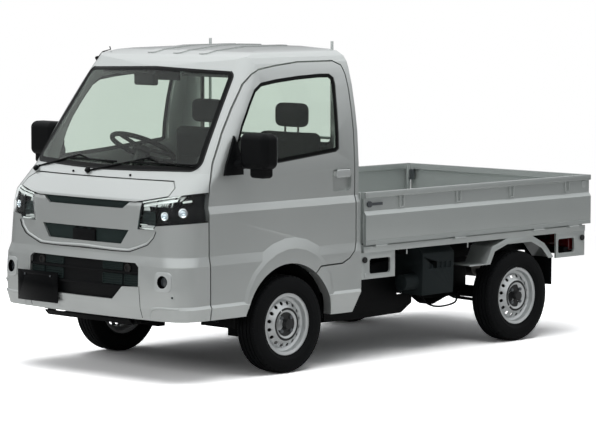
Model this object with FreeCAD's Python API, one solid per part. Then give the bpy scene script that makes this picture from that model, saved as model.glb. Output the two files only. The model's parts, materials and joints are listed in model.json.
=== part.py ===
import FreeCAD, Part
import math
import os
from functools import lru_cache
from FreeCAD import Vector

# The truck faces -Y, its left side is +X, and the ground is Z = 0
# Overall sizes of the vehicle
length = 3395.0
width = 1475.0
wheelbase = 1905.0
front_overhang = 850.5
front_track = 1305.0
rear_track = 1290.0
cab_length = 1409.5
cab_height = 1742.0
bed_floor_height = 650.0
gate_height = 290.0

# Clearances that the whole vehicle shares
overrun = 40.0
seat_gap = 0.3
door_gap = 8.0
moving_gap = 6.0
sliver = 16.0
weld = 2.0
corner_room_share = 0.495

# Places worked out from the overall sizes
front_face = -length / 2
rear_face = length / 2
half_width = width / 2
front_axle = front_face + front_overhang
rear_axle = front_axle + wheelbase
cab_rear = front_face + cab_length

# Wheels and tyres
tyre_radius = 264.0
tyre_width = 145.0
rim_radius = 152.4
rim_width = 101.6
rim_flange = 15.0
rim_lip = 7.0
rim_wall = 3.5
rim_well = 22.0
disc_offset = 45.0
disc_wall = 4.0
vent_circle = 114.0
vent_radius = 10.0
vent_count = 16
nut_circle = 50.0
nut_radius = 9.5
nut_height = 13.5
nut_count = 4
cap_radius = 27.0
cap_depth = 34.0

# Heights on the cab, as shares of its height
cab_height_shares = {
    "roof_split": 0.955224, "door_bottom": 0.19116, "door_height": 0.762916,
    "door_window_base": 0.634902, "door_window_height": 0.28186, "handle_base": 0.549943,
    "windshield_base": 0.63031, "windshield_height": 0.309989, "rear_window_base": 0.683123,
    "rear_window_top": 0.918485, "lamp_base": 0.464409, "lamp_height": 0.113088,
    "hood_base": 0.546498, "hood_height": 0.059701, "mask_base": 0.3938, "mask_height": 0.150402,
    "upper_slot_base": 0.523536, "upper_slot_height": 0.022962, "lower_slot_base": 0.416188,
    "lower_slot_height": 0.043054, "grille_base": 0.247991, "grille_height": 0.114811,
    "fog_height": 0.312859, "bumper_base": 0.192308, "bumper_top": 0.505166}

# Cab walls
side_wall = 55.0
pillar_wall = 34.0
front_wall = 30.0
rear_wall = 27.0
roof_wall = 28.0
glass_wall = 6.0
roof_split = cab_height_shares["roof_split"] * cab_height
glass_recess = 9.0
roof_rib_height = 5.0
roof_rib_width = 62.0
roof_rib_pitch = 205.0
roof_rib_length = 640.0
flare_reach = 466.0
flare_slope = 58.0
flare_inset = 1.5
flare_seat = 18.5

# Doors
door_front_setback = 271.5
door_length = 1103.0
door_bottom = cab_height_shares["door_bottom"] * cab_height
door_height = cab_height_shares["door_height"] * cab_height
door_hinge_setback = 322.5
door_hinge_inset = 22.5
door_pin_radius = 3.5
door_pin_height = 330.0
door_pin_length = 75.0
door_edge_chamfer = 6.0
arch_radius = 330.0
arch_lip = 6.0
sill_bottom = 290.0

# Bed
bed_gap = 22.0
bed_front = cab_rear + bed_gap
bed_rail_height = 43.0
gate_wall = 28.0
gate_inset = 4.5
gate_pin_drop = 10.0
gate_pin_radius = 6.5
floor_wall = 10.0


def box(low, high):
    size = [high[i] - low[i] for i in range(3)]
    return Part.makeBox(size[0], size[1], size[2], Vector(*low))


def wire_face(points):
    wire = Part.makePolygon([Vector(*p) for p in points] + [Vector(*points[0])])
    return Part.Face(wire)


def along_x(points, start, end):
    face = wire_face([(start, y, z) for y, z in points])
    return face.extrude(Vector(end - start, 0, 0))


def along_y(points, start, end):
    face = wire_face([(x, start, z) for x, z in points])
    return face.extrude(Vector(0, end - start, 0))


def along_z(points, start, end):
    face = wire_face([(x, y, start) for x, y in points])
    return face.extrude(Vector(0, 0, end - start))


def corner_arc(before, point, after, radius):
    # The arc that rounds one corner of an outline, and its two ends
    back = (before - point).normalize()
    ahead = (after - point).normalize()
    half_turn = back.getAngle(ahead) / 2
    if math.pi / 2 - half_turn < math.radians(1):
        return None
    reach = min(radius / math.tan(half_turn), before.distanceToPoint(point) * corner_room_share,
                after.distanceToPoint(point) * corner_room_share)
    start = point + back * reach
    end = point + ahead * reach
    centre = point + (back + ahead).normalize() * (reach / math.cos(half_turn))
    middle = centre + (point - centre).normalize() * (reach * math.tan(half_turn))
    return start, middle, end


def round_face(points, radius):
    # A closed outline whose corners are arcs of one radius, where its sides leave room
    corners = [Vector(*p) for p in points]
    pieces = []
    for i, point in enumerate(corners):
        pieces.append(corner_arc(corners[i - 1], point, corners[(i + 1) % len(corners)], radius))
    edges = []
    for i, piece in enumerate(pieces):
        following = pieces[(i + 1) % len(pieces)]
        start = piece[2] if piece else corners[i]
        end = following[0] if following else corners[(i + 1) % len(corners)]
        if piece:
            edges.append(Part.Arc(*piece).toShape())
        edges.append(Part.LineSegment(start, end).toShape())
    return Part.Face(Part.Wire(edges))


def round_x(points, radius, start, end):
    face = round_face([(start, y, z) for y, z in points], radius)
    return face.extrude(Vector(end - start, 0, 0))


def round_y(points, radius, start, end):
    face = round_face([(x, start, z) for x, z in points], radius)
    return face.extrude(Vector(0, end - start, 0))


def round_z(points, radius, start, end):
    face = round_face([(x, y, start) for x, y in points], radius)
    return face.extrude(Vector(0, 0, end - start))


def frame_of(low, high):
    # The four corners of a rectangle, for an outline
    return [(low[0], low[1]), (high[0], low[1]), (high[0], high[1]), (low[0], high[1])]


def rod(start, end, radius, bore=0):
    start = Vector(*start)
    path = Vector(*end) - start
    body = Part.makeCylinder(radius, path.Length, start, path)
    if bore:
        body = body.cut(Part.makeCylinder(bore, path.Length, start, path))
    return body


def bent_tube(points, radius, bend):
    # A tube along straight runs joined by arcs
    corners = [Vector(*p) for p in points]
    edges = []
    start = corners[0]
    for i in range(1, len(corners) - 1):
        arc = corner_arc(corners[i - 1], corners[i], corners[i + 1], bend)
        edges.append(Part.LineSegment(start, arc[0]).toShape())
        edges.append(Part.Arc(*arc).toShape())
        start = arc[2]
    edges.append(Part.LineSegment(start, corners[-1]).toShape())
    circle = Part.Circle(corners[0], corners[1] - corners[0], radius).toShape()
    return Part.Wire(edges).makePipeShell([Part.Wire([circle])], True, False)


def strip(points, wall):
    # The closed outline of an open line of points given one wall thickness on its left
    left = []
    for i, (a, b) in enumerate(points):
        before = points[max(i - 1, 0)]
        after = points[min(i + 1, len(points) - 1)]
        one = (a - before[0], b - before[1])
        two = (after[0] - a, after[1] - b)
        if i == 0:
            one = two
        if i == len(points) - 1:
            two = one
        n1 = (-one[1] / math.hypot(*one), one[0] / math.hypot(*one))
        n2 = (-two[1] / math.hypot(*two), two[0] / math.hypot(*two))
        total = 1 + n1[0] * n2[0] + n1[1] * n2[1]
        left.append((a + wall * (n1[0] + n2[0]) / total, b + wall * (n1[1] + n2[1]) / total))
    return points + left[::-1]


def turned(profile, centre):
    # A solid turned about a line along X through centre; the profile is (x, radius)
    face = wire_face([(centre[0] + x, centre[1], centre[2] + r) for x, r in profile])
    return face.revolve(Vector(*centre), Vector(1, 0, 0), 360)


def mirrored(shape):
    return shape.mirror(Vector(0, 0, 0), Vector(1, 0, 0))


def both(shape):
    return [shape, mirrored(shape)]


def fused(shapes):
    first = shapes[0]
    rest = shapes[1:]
    if not rest:
        return first
    return first.fuse(rest).removeSplitter()


def largest(shape):
    return max(shape.Solids, key=lambda solid: solid.Volume)


def placed(shares, origin, size):
    # Points given as shares of a size, from one corner
    return [(origin[0] + a * size[0], origin[1] + b * size[1]) for a, b in shares]


def save(name, shapes):
    # Faces that point inwards are turned, and slivers between cuts are left out
    solids = []
    for shape in shapes if isinstance(shapes, list) else [shapes]:
        for solid in shape.Solids:
            if solid.Volume < 0:
                solid = Part.makeSolid(solid.Shells[0].reversed())
            if solid.Volume > sliver * sliver * sliver:
                solids.append(solid)
    whole = solids[0] if len(solids) == 1 else Part.makeCompound(solids)
    whole.exportStep("parts/" + name + ".step")


# Cab outline at each level: height, half width, setback of the front, bow and corner radius,
# each as a share of the cab height, half width, cab length, width and width
cab_level_shares = [
    (0.1665, 0.975, 0.0290, 4.00, 0.080),
    (0.1923, 0.985, 0.0230, 4.00, 0.080),
    (0.2290, 1.000, 0.0095, 4.00, 0.085),
    (0.2382, 0.988, 0.0087, 4.00, 0.085),
    (0.2870, 0.988, 0.0045, 4.00, 0.090),
    (0.3559, 0.988, 0.0085, 4.00, 0.095),
    (0.3846, 0.974, 0.0153, 4.00, 0.105),
    (0.5109, 0.974, 0.0209, 4.00, 0.125),
    (0.5339, 0.958, 0.0223, 4.00, 0.125),
    (0.5540, 0.959, 0.0287, 3.60, 0.125),
    (0.5913, 0.960, 0.0763, 2.60, 0.110),
    (0.6315, 0.960, 0.1266, 2.05, 0.095),
    (0.7348, 0.945, 0.2175, 2.05, 0.085),
    (0.8037, 0.922, 0.2780, 2.05, 0.080),
    (0.8783, 0.888, 0.3437, 2.05, 0.075),
    (0.9300, 0.854, 0.3889, 2.05, 0.070),
    (1.0333, 0.760, 0.4800, 2.05, 0.060)]
# Share of the cab height where the thick lower wall gives way to the pillars
lower_wall_share = 0.64
# Roof line seen from the side, as shares of the cab length and height
roof_side_shares = [(0.30, 0.86), (0.3970, 0.9408), (0.4230, 0.9558), (0.4700, 0.9720),
                    (0.5500, 0.9860), (0.7200, 0.9985), (0.8500, 1.0), (1.06, 0.9950)]
# Roof line seen from the front, from the middle out, as shares of the half width and height
roof_front_shares = [(0.35, 0.9965), (0.658, 0.9891), (0.732, 0.9845), (0.80, 0.9700),
                     (0.86, 0.9380), (1.2, 0.80)]
roof_top_share = 1.2


def cab_outline(height, half, front, bow, corner, rear):
    # One closed outline of the cab seen from above: bowed front, round corners, flat rear
    inner_half = half - corner
    corner_y = front + bow - math.sqrt((bow - corner) ** 2 - inner_half ** 2)
    away = Vector(inner_half, corner_y - front - bow, 0).normalize()
    tangent = Vector(0, front + bow, height) + away * bow
    turn = Vector(inner_half, corner_y, height)
    middle = turn + (away + Vector(1, 0, 0)).normalize() * corner
    side = Vector(half, corner_y, height)
    back = Vector(half, rear, height)

    def flip(v):
        return Vector(-v.x, v.y, v.z)

    edges = [Part.Arc(flip(tangent), Vector(0, front, height), tangent).toShape(),
             Part.Arc(tangent, middle, side).toShape(),
             Part.LineSegment(side, back).toShape(),
             Part.LineSegment(back, flip(back)).toShape(),
             Part.LineSegment(flip(back), flip(side)).toShape(),
             Part.Arc(flip(side), flip(middle), flip(tangent)).toShape()]
    return Part.Wire(edges)


def above_roof(roof, side):
    # What lies over the roof, seen from the side and from the front
    line = placed(roof_side_shares, (front_face, -roof), (cab_length, cab_height))
    top = roof_top_share * cab_height
    over_side = along_x([(line[0][0] - cab_length, line[0][1])] + line
                        + [(line[-1][0], top), (line[0][0] - cab_length, top)], -width, width)
    half = placed(roof_front_shares, (0, -roof), (half_width - side, cab_height))
    other = [(-x, z) for x, z in half[::-1]]
    over_front = along_y(other + [(0, cab_height - roof)] + half
                         + [(half[-1][0], top), (-half[-1][0], top)],
                         front_face - overrun, cab_rear + overrun)
    return [over_side, over_front]


# Wheel arch flare, as shares of its reach from the wheel's centre
flare_shares = [(-0.818, 0.270), (-0.740, 0.508), (-0.627, 0.687), (-0.433, 0.848), (-0.256, 0.942),
                (-0.045, 0.996), (0.110, 1.0), (0.303, 0.966), (0.498, 0.878), (0.624, 0.760),
                (0.740, 0.601), (0.818, 0.270)]


def arch_flare():
    # A raised band round the front wheel's arch, sloped from the door's skin to its flat face
    base = [(front_axle + a * flare_reach, tyre_radius + b * flare_reach) for a, b in flare_shares]
    top = flare_reach - flare_slope
    crest = [(front_axle + a * top, tyre_radius + b * top) for a, b in flare_shares]
    seat = half_width - flare_seat
    face = half_width - flare_inset

    def loop(points, x):
        return Part.makePolygon([Vector(x, y, z) for y, z in points + [points[0]]])

    slope = Part.makeLoft([loop(base, seat), loop(crest, face)], True, True)
    return along_x(base, half_width - side_wall / 2, seat).fuse(slope)


@lru_cache(maxsize=None)
def cab_body(side, upper_side, front, rear, roof):
    # The cab's closed form, drawn in from the outer skin by one depth for each face
    wires = []
    for height, half, setback, bow, corner in cab_level_shares:
        inset = side if height < lower_wall_share else upper_side
        wires.append(cab_outline(height * cab_height, half * half_width - inset,
                                 front_face + setback * cab_length + front,
                                 bow * width, max(corner * width - inset, arch_lip),
                                 cab_rear - rear))
    return Part.makeLoft(wires, True, True).cut(above_roof(roof, upper_side))


# Outlines on the cab, as shares of the sizes named beside them
door_shares = [(0, -0.06), (0, 0.437), (0.0154, 0.531), (0.0561, 0.615), (0.134, 0.727),
               (0.212, 0.822), (0.300, 0.918), (0.356, 0.955), (0.406, 0.973), (0.533, 0.987),
               (0.689, 0.998), (0.930, 0.998), (0.980, 0.980), (0.995, 0.946), (1, 0.878),
               (1, 0.255), (0.984, 0.223), (0.948, 0.196), (0.896, 0.177), (0.738, 0.175),
               (0.694, 0.141), (0.658, 0.050), (0.296, -0.06)]
door_window_setback = 420.5
door_window_length = 861.0
door_window_base = cab_height_shares["door_window_base"] * cab_height
door_window_height = cab_height_shares["door_window_height"] * cab_height
door_window_shares = [(0, 0), (0.129, 0.487), (0.215, 0.713), (0.278, 0.859), (0.344, 0.927),
                      (0.482, 0.959), (0.677, 0.986), (0.873, 1.0), (0.962, 0.996), (0.997, 0.953),
                      (1.0, 0.870), (0.990, 0.666), (0.980, 0.369), (0.977, 0.165), (0.950, 0.135),
                      (0.445, 0.055)]
windshield_base = cab_height_shares["windshield_base"] * cab_height
windshield_height = cab_height_shares["windshield_height"] * cab_height
windshield_half = 647.0
windshield_shares = [(-1.0, 0.026), (0, 0), (1.0, 0.026), (0.876, 0.970), (0, 1.0), (-0.876, 0.970)]
windshield_corner = 45.0
lamp_inner = 409.0
lamp_reach = 345.0
lamp_base = cab_height_shares["lamp_base"] * cab_height
lamp_height = cab_height_shares["lamp_height"] * cab_height
lamp_shares = [(0, 0), (0.342, 0.015), (0.386, 0.112), (0.672, 0.162), (1.0, 0.220),
               (1.0, 1.0), (0.860, 0.985), (0.072, 0.731)]
hood_half = 583.0
hood_base = cab_height_shares["hood_base"] * cab_height
hood_height = cab_height_shares["hood_height"] * cab_height
hood_shares = [(-1.0, 0.34), (-0.755, 0.08), (-0.66, 0), (0.66, 0), (0.755, 0.08), (1.0, 0.34),
               (1.0, 0.7), (0.93, 1.0), (-0.93, 1.0), (-1.0, 0.7)]
mask_half = 545.0
mask_base = cab_height_shares["mask_base"] * cab_height
mask_height = cab_height_shares["mask_height"] * cab_height
mask_step = 6.0
mask_shares = [(-0.657, 0.008), (0.657, 0.008), (0.767, 0.076), (0.897, 0.172), (0.972, 0.321),
               (1.0, 0.446), (1.0, 0.468), (0.751, 0.468), (0.796, 1.0), (-0.796, 1.0),
               (-0.751, 0.468), (-1.0, 0.468), (-1.0, 0.446), (-0.972, 0.321), (-0.897, 0.172),
               (-0.767, 0.076)]
upper_slot_half = 350.0
upper_slot_base = cab_height_shares["upper_slot_base"] * cab_height
upper_slot_height = cab_height_shares["upper_slot_height"] * cab_height
lower_slot_half = 344.0
lower_slot_base = cab_height_shares["lower_slot_base"] * cab_height
lower_slot_height = cab_height_shares["lower_slot_height"] * cab_height
slot_shares = [(-0.84, 0), (0.84, 0), (1.0, 1.0), (-1.0, 1.0)]
grille_half = 436.0
grille_base = cab_height_shares["grille_base"] * cab_height
grille_height = cab_height_shares["grille_height"] * cab_height
grille_shares = [(-0.55, 0), (0.55, 0), (0.73, 0.36), (1.0, 0.385), (0.995, 0.9), (0.94, 1.0),
                 (-0.94, 1.0), (-0.995, 0.9), (-1.0, 0.385), (-0.73, 0.36)]
fog_place = 606.0
fog_height = cab_height_shares["fog_height"] * cab_height
fog_half = 52.0
fog_lens = 27.0
fog_proud = 5.0
rear_window_half = 520.0
rear_window_base = cab_height_shares["rear_window_base"] * cab_height
rear_window_top = cab_height_shares["rear_window_top"] * cab_height
bumper_base = cab_height_shares["bumper_base"] * cab_height
bumper_top = cab_height_shares["bumper_top"] * cab_height
corner_post_inner = 600.0
sill_start_setback = 990.0
sill_slant = 130.0
sill_slant_shares = [(-0.75, -0.6), (0.5, -0.6), (0.5, 1.3), (0.0, 1.0)]
front_depth = 300.0


def outline_prism(shares, origin, size, grow, radius=0):
    # A front-view outline made into a block that passes through the front wall
    points = [(x, 0, z) for x, z in placed(shares, origin, size)]
    face = round_face(points, radius) if radius else wire_face(points)
    if grow:
        face = face.makeOffset2D(grow)
    face.translate(Vector(0, front_face - overrun, 0))
    return face.extrude(Vector(0, front_depth + overrun, 0))


def windshield_block(grow):
    points = [(x, 0, z) for x, z in placed(windshield_shares, (0, windshield_base),
                                           (windshield_half, windshield_height))]
    face = round_face(points, windshield_corner)
    if grow:
        face = face.makeOffset2D(grow)
    face.translate(Vector(0, front_face, 0))
    return face.extrude(Vector(0, cab_length / 2, 0))


def side_prism(shares, origin, size, grow):
    # A side-view outline made into a block that passes through the left wall
    face = wire_face([(0, y, z) for y, z in placed(shares, origin, size)])
    if grow:
        face = face.makeOffset2D(grow)
    face.translate(Vector(half_width / 3, 0, 0))
    return face.extrude(Vector(half_width, 0, 0))


def door_block(grow):
    return side_prism(door_shares, (front_face + door_front_setback, door_bottom),
                      (door_length, door_height), grow)


def door_window_block(grow):
    return side_prism(door_window_shares, (front_face + door_window_setback, door_window_base),
                      (door_window_length, door_window_height), grow)


def arch_block():
    return Part.makeCylinder(arch_radius, half_width, Vector(half_width / 2, front_axle, tyre_radius),
                             Vector(1, 0, 0))


def fog_block(grow):
    low = fog_place - fog_half - grow
    points = frame_of((low, fog_height - fog_half - grow),
                      (fog_place + fog_half + grow, fog_height + fog_half + grow))
    return round_y(points, fog_half / 2, front_face - overrun, front_face + front_depth)


def slot_block(half, base, height, grow):
    return outline_prism(slot_shares, (0, base), (half, height), grow)


def lamp_block(grow):
    return outline_prism(lamp_shares, (lamp_inner, lamp_base), (lamp_reach, lamp_height), grow)


def hood_block(grow):
    return outline_prism(hood_shares, (0, hood_base), (hood_half, hood_height), grow)


def mask_block():
    return outline_prism(mask_shares, (0, mask_base), (mask_half, mask_height), 0)


def grille_block(grow):
    return outline_prism(grille_shares, (0, grille_base), (grille_half, grille_height), grow)


def deep_body(depth):
    # The cab's outer form drawn in by the same depth on all sides
    return cab_body(depth, depth, depth, depth, depth)


def inner_body(gap):
    # The room inside the cab's walls, left clear by a gap
    return cab_body(side_wall + gap, pillar_wall + gap, front_wall + gap, rear_wall, roof_wall)


# Cab floor, seats and controls
footwell_height = 400.0
floor_plate = 20.0
riser_setback = 500.0
riser_lean = 45.0
wheelhouse_wall = 12.0
wheelhouse_inner = 400.0
floor_half = 649.0
deck_height = tyre_radius + arch_radius + wheelhouse_wall - floor_plate / 10


def save_cab():
    outer = fused([deep_body(0)] + both(arch_flare()))
    shell = outer.cut(inner_body(0))
    back_face = cab_rear - rear_wall
    wide = width
    high = 2 * cab_height
    low_front = box((-wide, front_face - overrun, 0), (wide, front_axle - arch_radius / 2, bumper_base))
    shell = shell.cut(low_front)
    doors = both(door_block(door_gap))
    behind = box((-wide, back_face, 0), (wide, cab_rear + overrun, high))
    over = box((-wide, front_face, roof_split), (wide, back_face, high))

    window = round_y(frame_of((-rear_window_half, rear_window_base), (rear_window_half, rear_window_top)),
                     windshield_corner, cab_rear - rear_wall - overrun, cab_rear + overrun)
    under = box((-corner_post_inner, back_face - overrun, 0),
                (corner_post_inner, cab_rear + overrun, deck_height))
    slant = along_x(placed(sill_slant_shares, (cab_rear, sill_bottom), (sill_slant, sill_slant)), -wide,
                    wide)
    save("cab_back", outer.common(behind).cut([window, under, slant]))
    pane_middle = cab_rear - rear_wall / 2
    pane = round_y(frame_of((-rear_window_half + seat_gap, rear_window_base + seat_gap),
                            (rear_window_half - seat_gap, rear_window_top - seat_gap)),
                   windshield_corner, pane_middle - glass_wall / 2, pane_middle + glass_wall / 2)
    save("rear_window", pane)
    save("windshield", deep_body(0).cut(cab_body(glass_wall, glass_wall, glass_wall, 0,
                                                 glass_wall)).common(
        windshield_block(0)))

    ahead = shell.cut([behind] + doors).cut(windshield_block(seat_gap))
    save("cab_roof", fused([ahead.common(over)] + roof_ribs()))
    below = ahead.cut(over).cut(both(arch_block()))
    sill_start = front_face + sill_start_setback
    rear_part = box((-wide, sill_start, 0), (wide, back_face, high))
    front_part = box((-wide, front_face - overrun, 0), (wide, sill_start, high))
    save("cab_sills", below.common(rear_part).cut(slant))
    front = below.common(front_part).cut(hood_block(moving_gap))
    lamps = both(lamp_block(seat_gap))
    low = box((-wide, front_face - overrun, 0), (wide, front_axle, bumper_top))
    save("front_bumper", front.common(low).cut(lamps + both(fog_block(seat_gap)) + [mask_block(),
                                                                                    grille_block(0)]))
    save("cab_front", front.cut([low, mask_block()] + lamps))
    slots = [slot_block(upper_slot_half, upper_slot_base, upper_slot_height, 0),
             slot_block(lower_slot_half, lower_slot_base, lower_slot_height, 0)]
    save("front_mask", front.common(mask_block()).common(deep_body(mask_step)).cut(slots + lamps))
    save("hood", shell.common(hood_block(0)))
    save_headlamps(shell)
    save_fog_lamps(shell)
    save_grille()
    save_doors(shell, low_front)
    save_floor()


def roof_ribs():
    # Long raised ribs pressed into the roof panel
    raised = cab_body(0, 0, 0, 0, -roof_rib_height).cut(deep_body(0))
    end = cab_rear - rear_wall - overrun
    ribs = []
    for i in (-1, 0, 1):
        low = i * roof_rib_pitch - roof_rib_width / 2
        plan = round_z(frame_of((low, end - roof_rib_length), (low + roof_rib_width, end)),
                       roof_rib_width / 3, roof_split, 2 * cab_height)
        ribs += raised.common(plan).Solids
    return ribs


# Headlamps: lens, bowl behind it, and what shows inside
lens_wall = 4.0
bowl_rim = 8.0
bowl_top = 24.0
lamp_rib = 4.0
lamp_front_gap = 12.0
light_bar_shares = [(0.10, 0.590), (0.66, 0.760), (0.66, 0.830), (0.10, 0.660)]
lamp_wall_places = [0.335, 0.60]
turn_rib_places = [0.12, 0.24, 0.36, 0.48]
turn_rib_reach_share = 0.335


def save_headlamps(shell):
    room = [door_block(door_gap), hood_block(moving_gap)]
    lens = shell.common(lamp_block(0)).cut(deep_body(lens_wall)).cut(room)
    save("headlamps", both(largest(lens)))
    behind = shell.common(lamp_block(-seat_gap)).common(deep_body(lens_wall + seat_gap)).cut(room)
    pocket = lamp_block(-bowl_rim).common(deep_body(0)).cut(deep_body(bowl_top))
    bowl = largest(behind.cut(pocket))
    mouth = behind.common(deep_body(lamp_front_gap))
    pieces = [bowl, mouth.common(lamp_prism(light_bar_shares))]
    for share in lamp_wall_places:
        x = lamp_inner + share * lamp_reach
        pieces.append(mouth.common(box((x, front_face, 0), (x + lamp_rib, cab_rear, cab_height))))
    for share in turn_rib_places:
        z = lamp_base + share * lamp_height
        pieces.append(mouth.common(box((lamp_inner, front_face, z),
                                       (lamp_inner + turn_rib_reach_share * lamp_reach, cab_rear,
                                        z + lamp_rib))))
    save("lamp_bowls", both(largest(fused([s for p in pieces for s in p.Solids]))))


def lamp_prism(shares):
    return outline_prism(shares, (lamp_inner, lamp_base), (lamp_reach, lamp_height), 0)


def save_fog_lamps(shell):
    # A rounded-square bezel that stands proud of the bumper, with a round lens sunk in it
    middle = (fog_place, fog_height)
    hole = rod((middle[0], front_face - overrun, middle[1]),
               (middle[0], front_face + front_depth, middle[1]),
               fog_lens + moving_gap)
    raised = deep_body(-fog_proud).cut(inner_body(0)).common(fog_block(0))
    bezel = largest(raised.cut(hole))
    lens = largest(shell.common(rod((middle[0], front_face - overrun, middle[1]),
                                    (middle[0], front_face + front_depth, middle[1]), fog_lens)).common(
        deep_body(front_wall / 2)))
    ring = shell.common(hole).common(deep_body(front_wall / 2 + lens_wall))
    save("fog_lamps", both(fused([bezel, lens, largest(ring)])))


# Inserts behind the slots and the bumper opening
insert_depth = 18.0
insert_reach = 48.0
bar_thickness = 11.0
bar_setback = 5.0
bar_rises = [69.0, 145.0]
louvre_rib = 4.0
louvre_setback = 12.0
louvre_blocks = [(160.0, 305.0, 158.0, 192.0), (160.0, 305.0, 82.0, 132.0), (322.0, 424.0, 82.0, 132.0)]
louvre_count = 4
camera_half = 88.0
camera_base = lower_slot_base - weld
camera_height = 61.0


def save_grille():
    inner = inner_body(0)
    back = deep_body(insert_depth).cut(inner)
    upper = back.common(slot_block(upper_slot_half, upper_slot_base, upper_slot_height, -seat_gap))
    lower_room = slot_block(lower_slot_half, lower_slot_base, lower_slot_height, -seat_gap)
    housing = box((-camera_half, front_face, camera_base),
                  (camera_half, front_axle, camera_base + camera_height))
    front = deep_body(mask_step).cut(inner).common(housing.common(lower_room))
    pieces = [largest(upper), fused([largest(back.common(lower_room)), largest(front)])]

    opening = grille_block(-seat_gap)
    end = front_face + insert_reach
    bars = [box((-width, front_face, z - bar_thickness / 2), (width, end, z + bar_thickness / 2))
            for z in [grille_base + rise for rise in bar_rises]]
    slats = []
    for near, far, low, high in louvre_blocks:
        base = grille_base + low
        top = grille_base + high
        rise = (top - base) / louvre_count
        for i in range(louvre_count + 1):
            z = base + i * rise
            slats += both(box((near, front_face, z - louvre_rib / 2), (far, end, z + louvre_rib / 2)))
        for x in (near, far):
            slats += both(box((x - louvre_rib / 2, front_face, base), (x + louvre_rib / 2, end, top)))
    bars = deep_body(bar_setback).common(fused(bars).common(opening))
    slats = deep_body(louvre_setback).common(fused(slats).common(opening))
    pieces.append(fused([largest(back.common(opening))] + bars.Solids + slats.Solids))
    save("front_grille", pieces)


# Door handle
handle_setback = 1205.5
handle_length = 146.0
handle_base = cab_height_shares["handle_base"] * cab_height
handle_height = 120.0
handle_depth = 24.0
handle_corner = 18.0
grip_rise = 82.0
grip_height = 27.0
grip_wall = 11.0
grip_proud = 9.0


def save_doors(shell, low_front):
    door = shell.common(door_block(0)).cut([arch_block(), low_front, door_window_block(0)])
    pin_x = half_width - door_hinge_inset
    pin_y = front_face + door_hinge_setback
    bore = Part.makeCylinder(door_pin_radius + seat_gap, door_pin_length + moving_gap,
                             Vector(pin_x, pin_y, door_pin_height))
    edge = front_face + door_front_setback
    cut = 2 * door_edge_chamfer
    corner = along_z([(half_width - door_edge_chamfer, edge), (half_width + cut, edge - cut),
                      (half_width, edge + door_edge_chamfer)], 0, roof_split)
    handle_start = front_face + handle_setback
    grip_base = handle_base + grip_rise
    cup = round_x(frame_of((handle_start, handle_base),
                           (handle_start + handle_length, handle_base + handle_height)),
                  handle_corner, half_width / 2, width).cut(deep_body(handle_depth))
    grip = along_x(frame_of((handle_start - seat_gap, grip_base),
                            (handle_start + handle_length + seat_gap, grip_base + grip_height)),
                   half_width / 2, width)
    grip = deep_body(-grip_proud).cut(deep_body(grip_wall - grip_proud)).common(grip)
    door = fused([door.cut([bore, corner, cup]), largest(grip)])
    near = deep_body(glass_recess)
    far = deep_body(glass_recess + glass_wall)
    pane = largest(near.cut(far).common(door_window_block(-seat_gap)))
    save("door_left", door)
    save("door_right", mirrored(door))
    save("door_glass_left", pane)
    save("door_glass_right", mirrored(pane))


def save_floor():
    riser = front_face + riser_setback
    back_face = cab_rear - rear_wall - seat_gap
    line = [(front_face, footwell_height), (riser, footwell_height), (riser + riser_lean, deck_height),
            (back_face, deck_height)]
    plate = along_x(strip(line, floor_plate), -floor_half, floor_half)
    plate = plate.common(inner_body(seat_gap))
    centre = Vector(wheelhouse_inner, front_axle, tyre_radius)
    span = floor_half - wheelhouse_inner
    house = Part.makeCylinder(arch_radius + wheelhouse_wall, span, centre, Vector(1, 0, 0))
    hollow = Part.makeCylinder(arch_radius, span, centre + Vector(wheelhouse_wall, 0, 0),
                               Vector(1, 0, 0))
    cover = house.cut(hollow).common(
        box((0, front_face, tyre_radius), (width, 0, cab_height)))
    pin_x = half_width - door_hinge_inset
    pin_y = front_face + door_hinge_setback
    foot_low = door_pin_height - 2 * moving_gap
    foot = box((floor_half - 2 * overrun, pin_y - 2 * moving_gap, foot_low),
               (pin_x + moving_gap, pin_y + 2 * moving_gap, foot_low + moving_gap))
    post = box((floor_half - 2 * overrun, pin_y - 2 * moving_gap, foot_low),
               (floor_half - overrun, pin_y + 2 * moving_gap, footwell_height + floor_plate / 2))
    pin = Part.makeCylinder(door_pin_radius, door_pin_length, Vector(pin_x, pin_y, foot_low))
    pivots = both(foot) + both(post) + both(pin)
    save("cab_floor", fused([plate] + both(cover) + pivots))


# Seats, as a driver sits on the right side of the cab
seat_place = 335.0
seat_width = 460.0
seat_depth = 440.0
seat_front_setback = 760.0
cushion_height = 140.0
back_height = 520.0
back_wall = 110.0
back_lean = 110.0
headrest_width = 240.0
headrest_height = 150.0
headrest_wall = 90.0
seat_round = 36.0


def save_seats():
    seat_top = deck_height + floor_plate
    start = front_face + seat_front_setback
    low = seat_place - seat_width / 2
    high = seat_place + seat_width / 2
    top = seat_top + cushion_height + back_height
    profile = [(start, seat_top), (start + seat_depth, seat_top), (start + seat_depth + back_lean, top),
               (start + seat_depth + back_lean - back_wall, top),
               (start + seat_depth - back_wall, seat_top + cushion_height), (start,
                                                                             seat_top + cushion_height)]
    bench = round_x(profile, seat_round, low, high)
    head_low = top + seat_gap
    head_rear = start + seat_depth + back_lean
    head = round_x(frame_of((head_rear - headrest_wall, head_low),
                            (head_rear, head_low + headrest_height)),
                   seat_round, seat_place - headrest_width / 2, seat_place + headrest_width / 2)
    save("seats", both(bench) + both(head))


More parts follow.
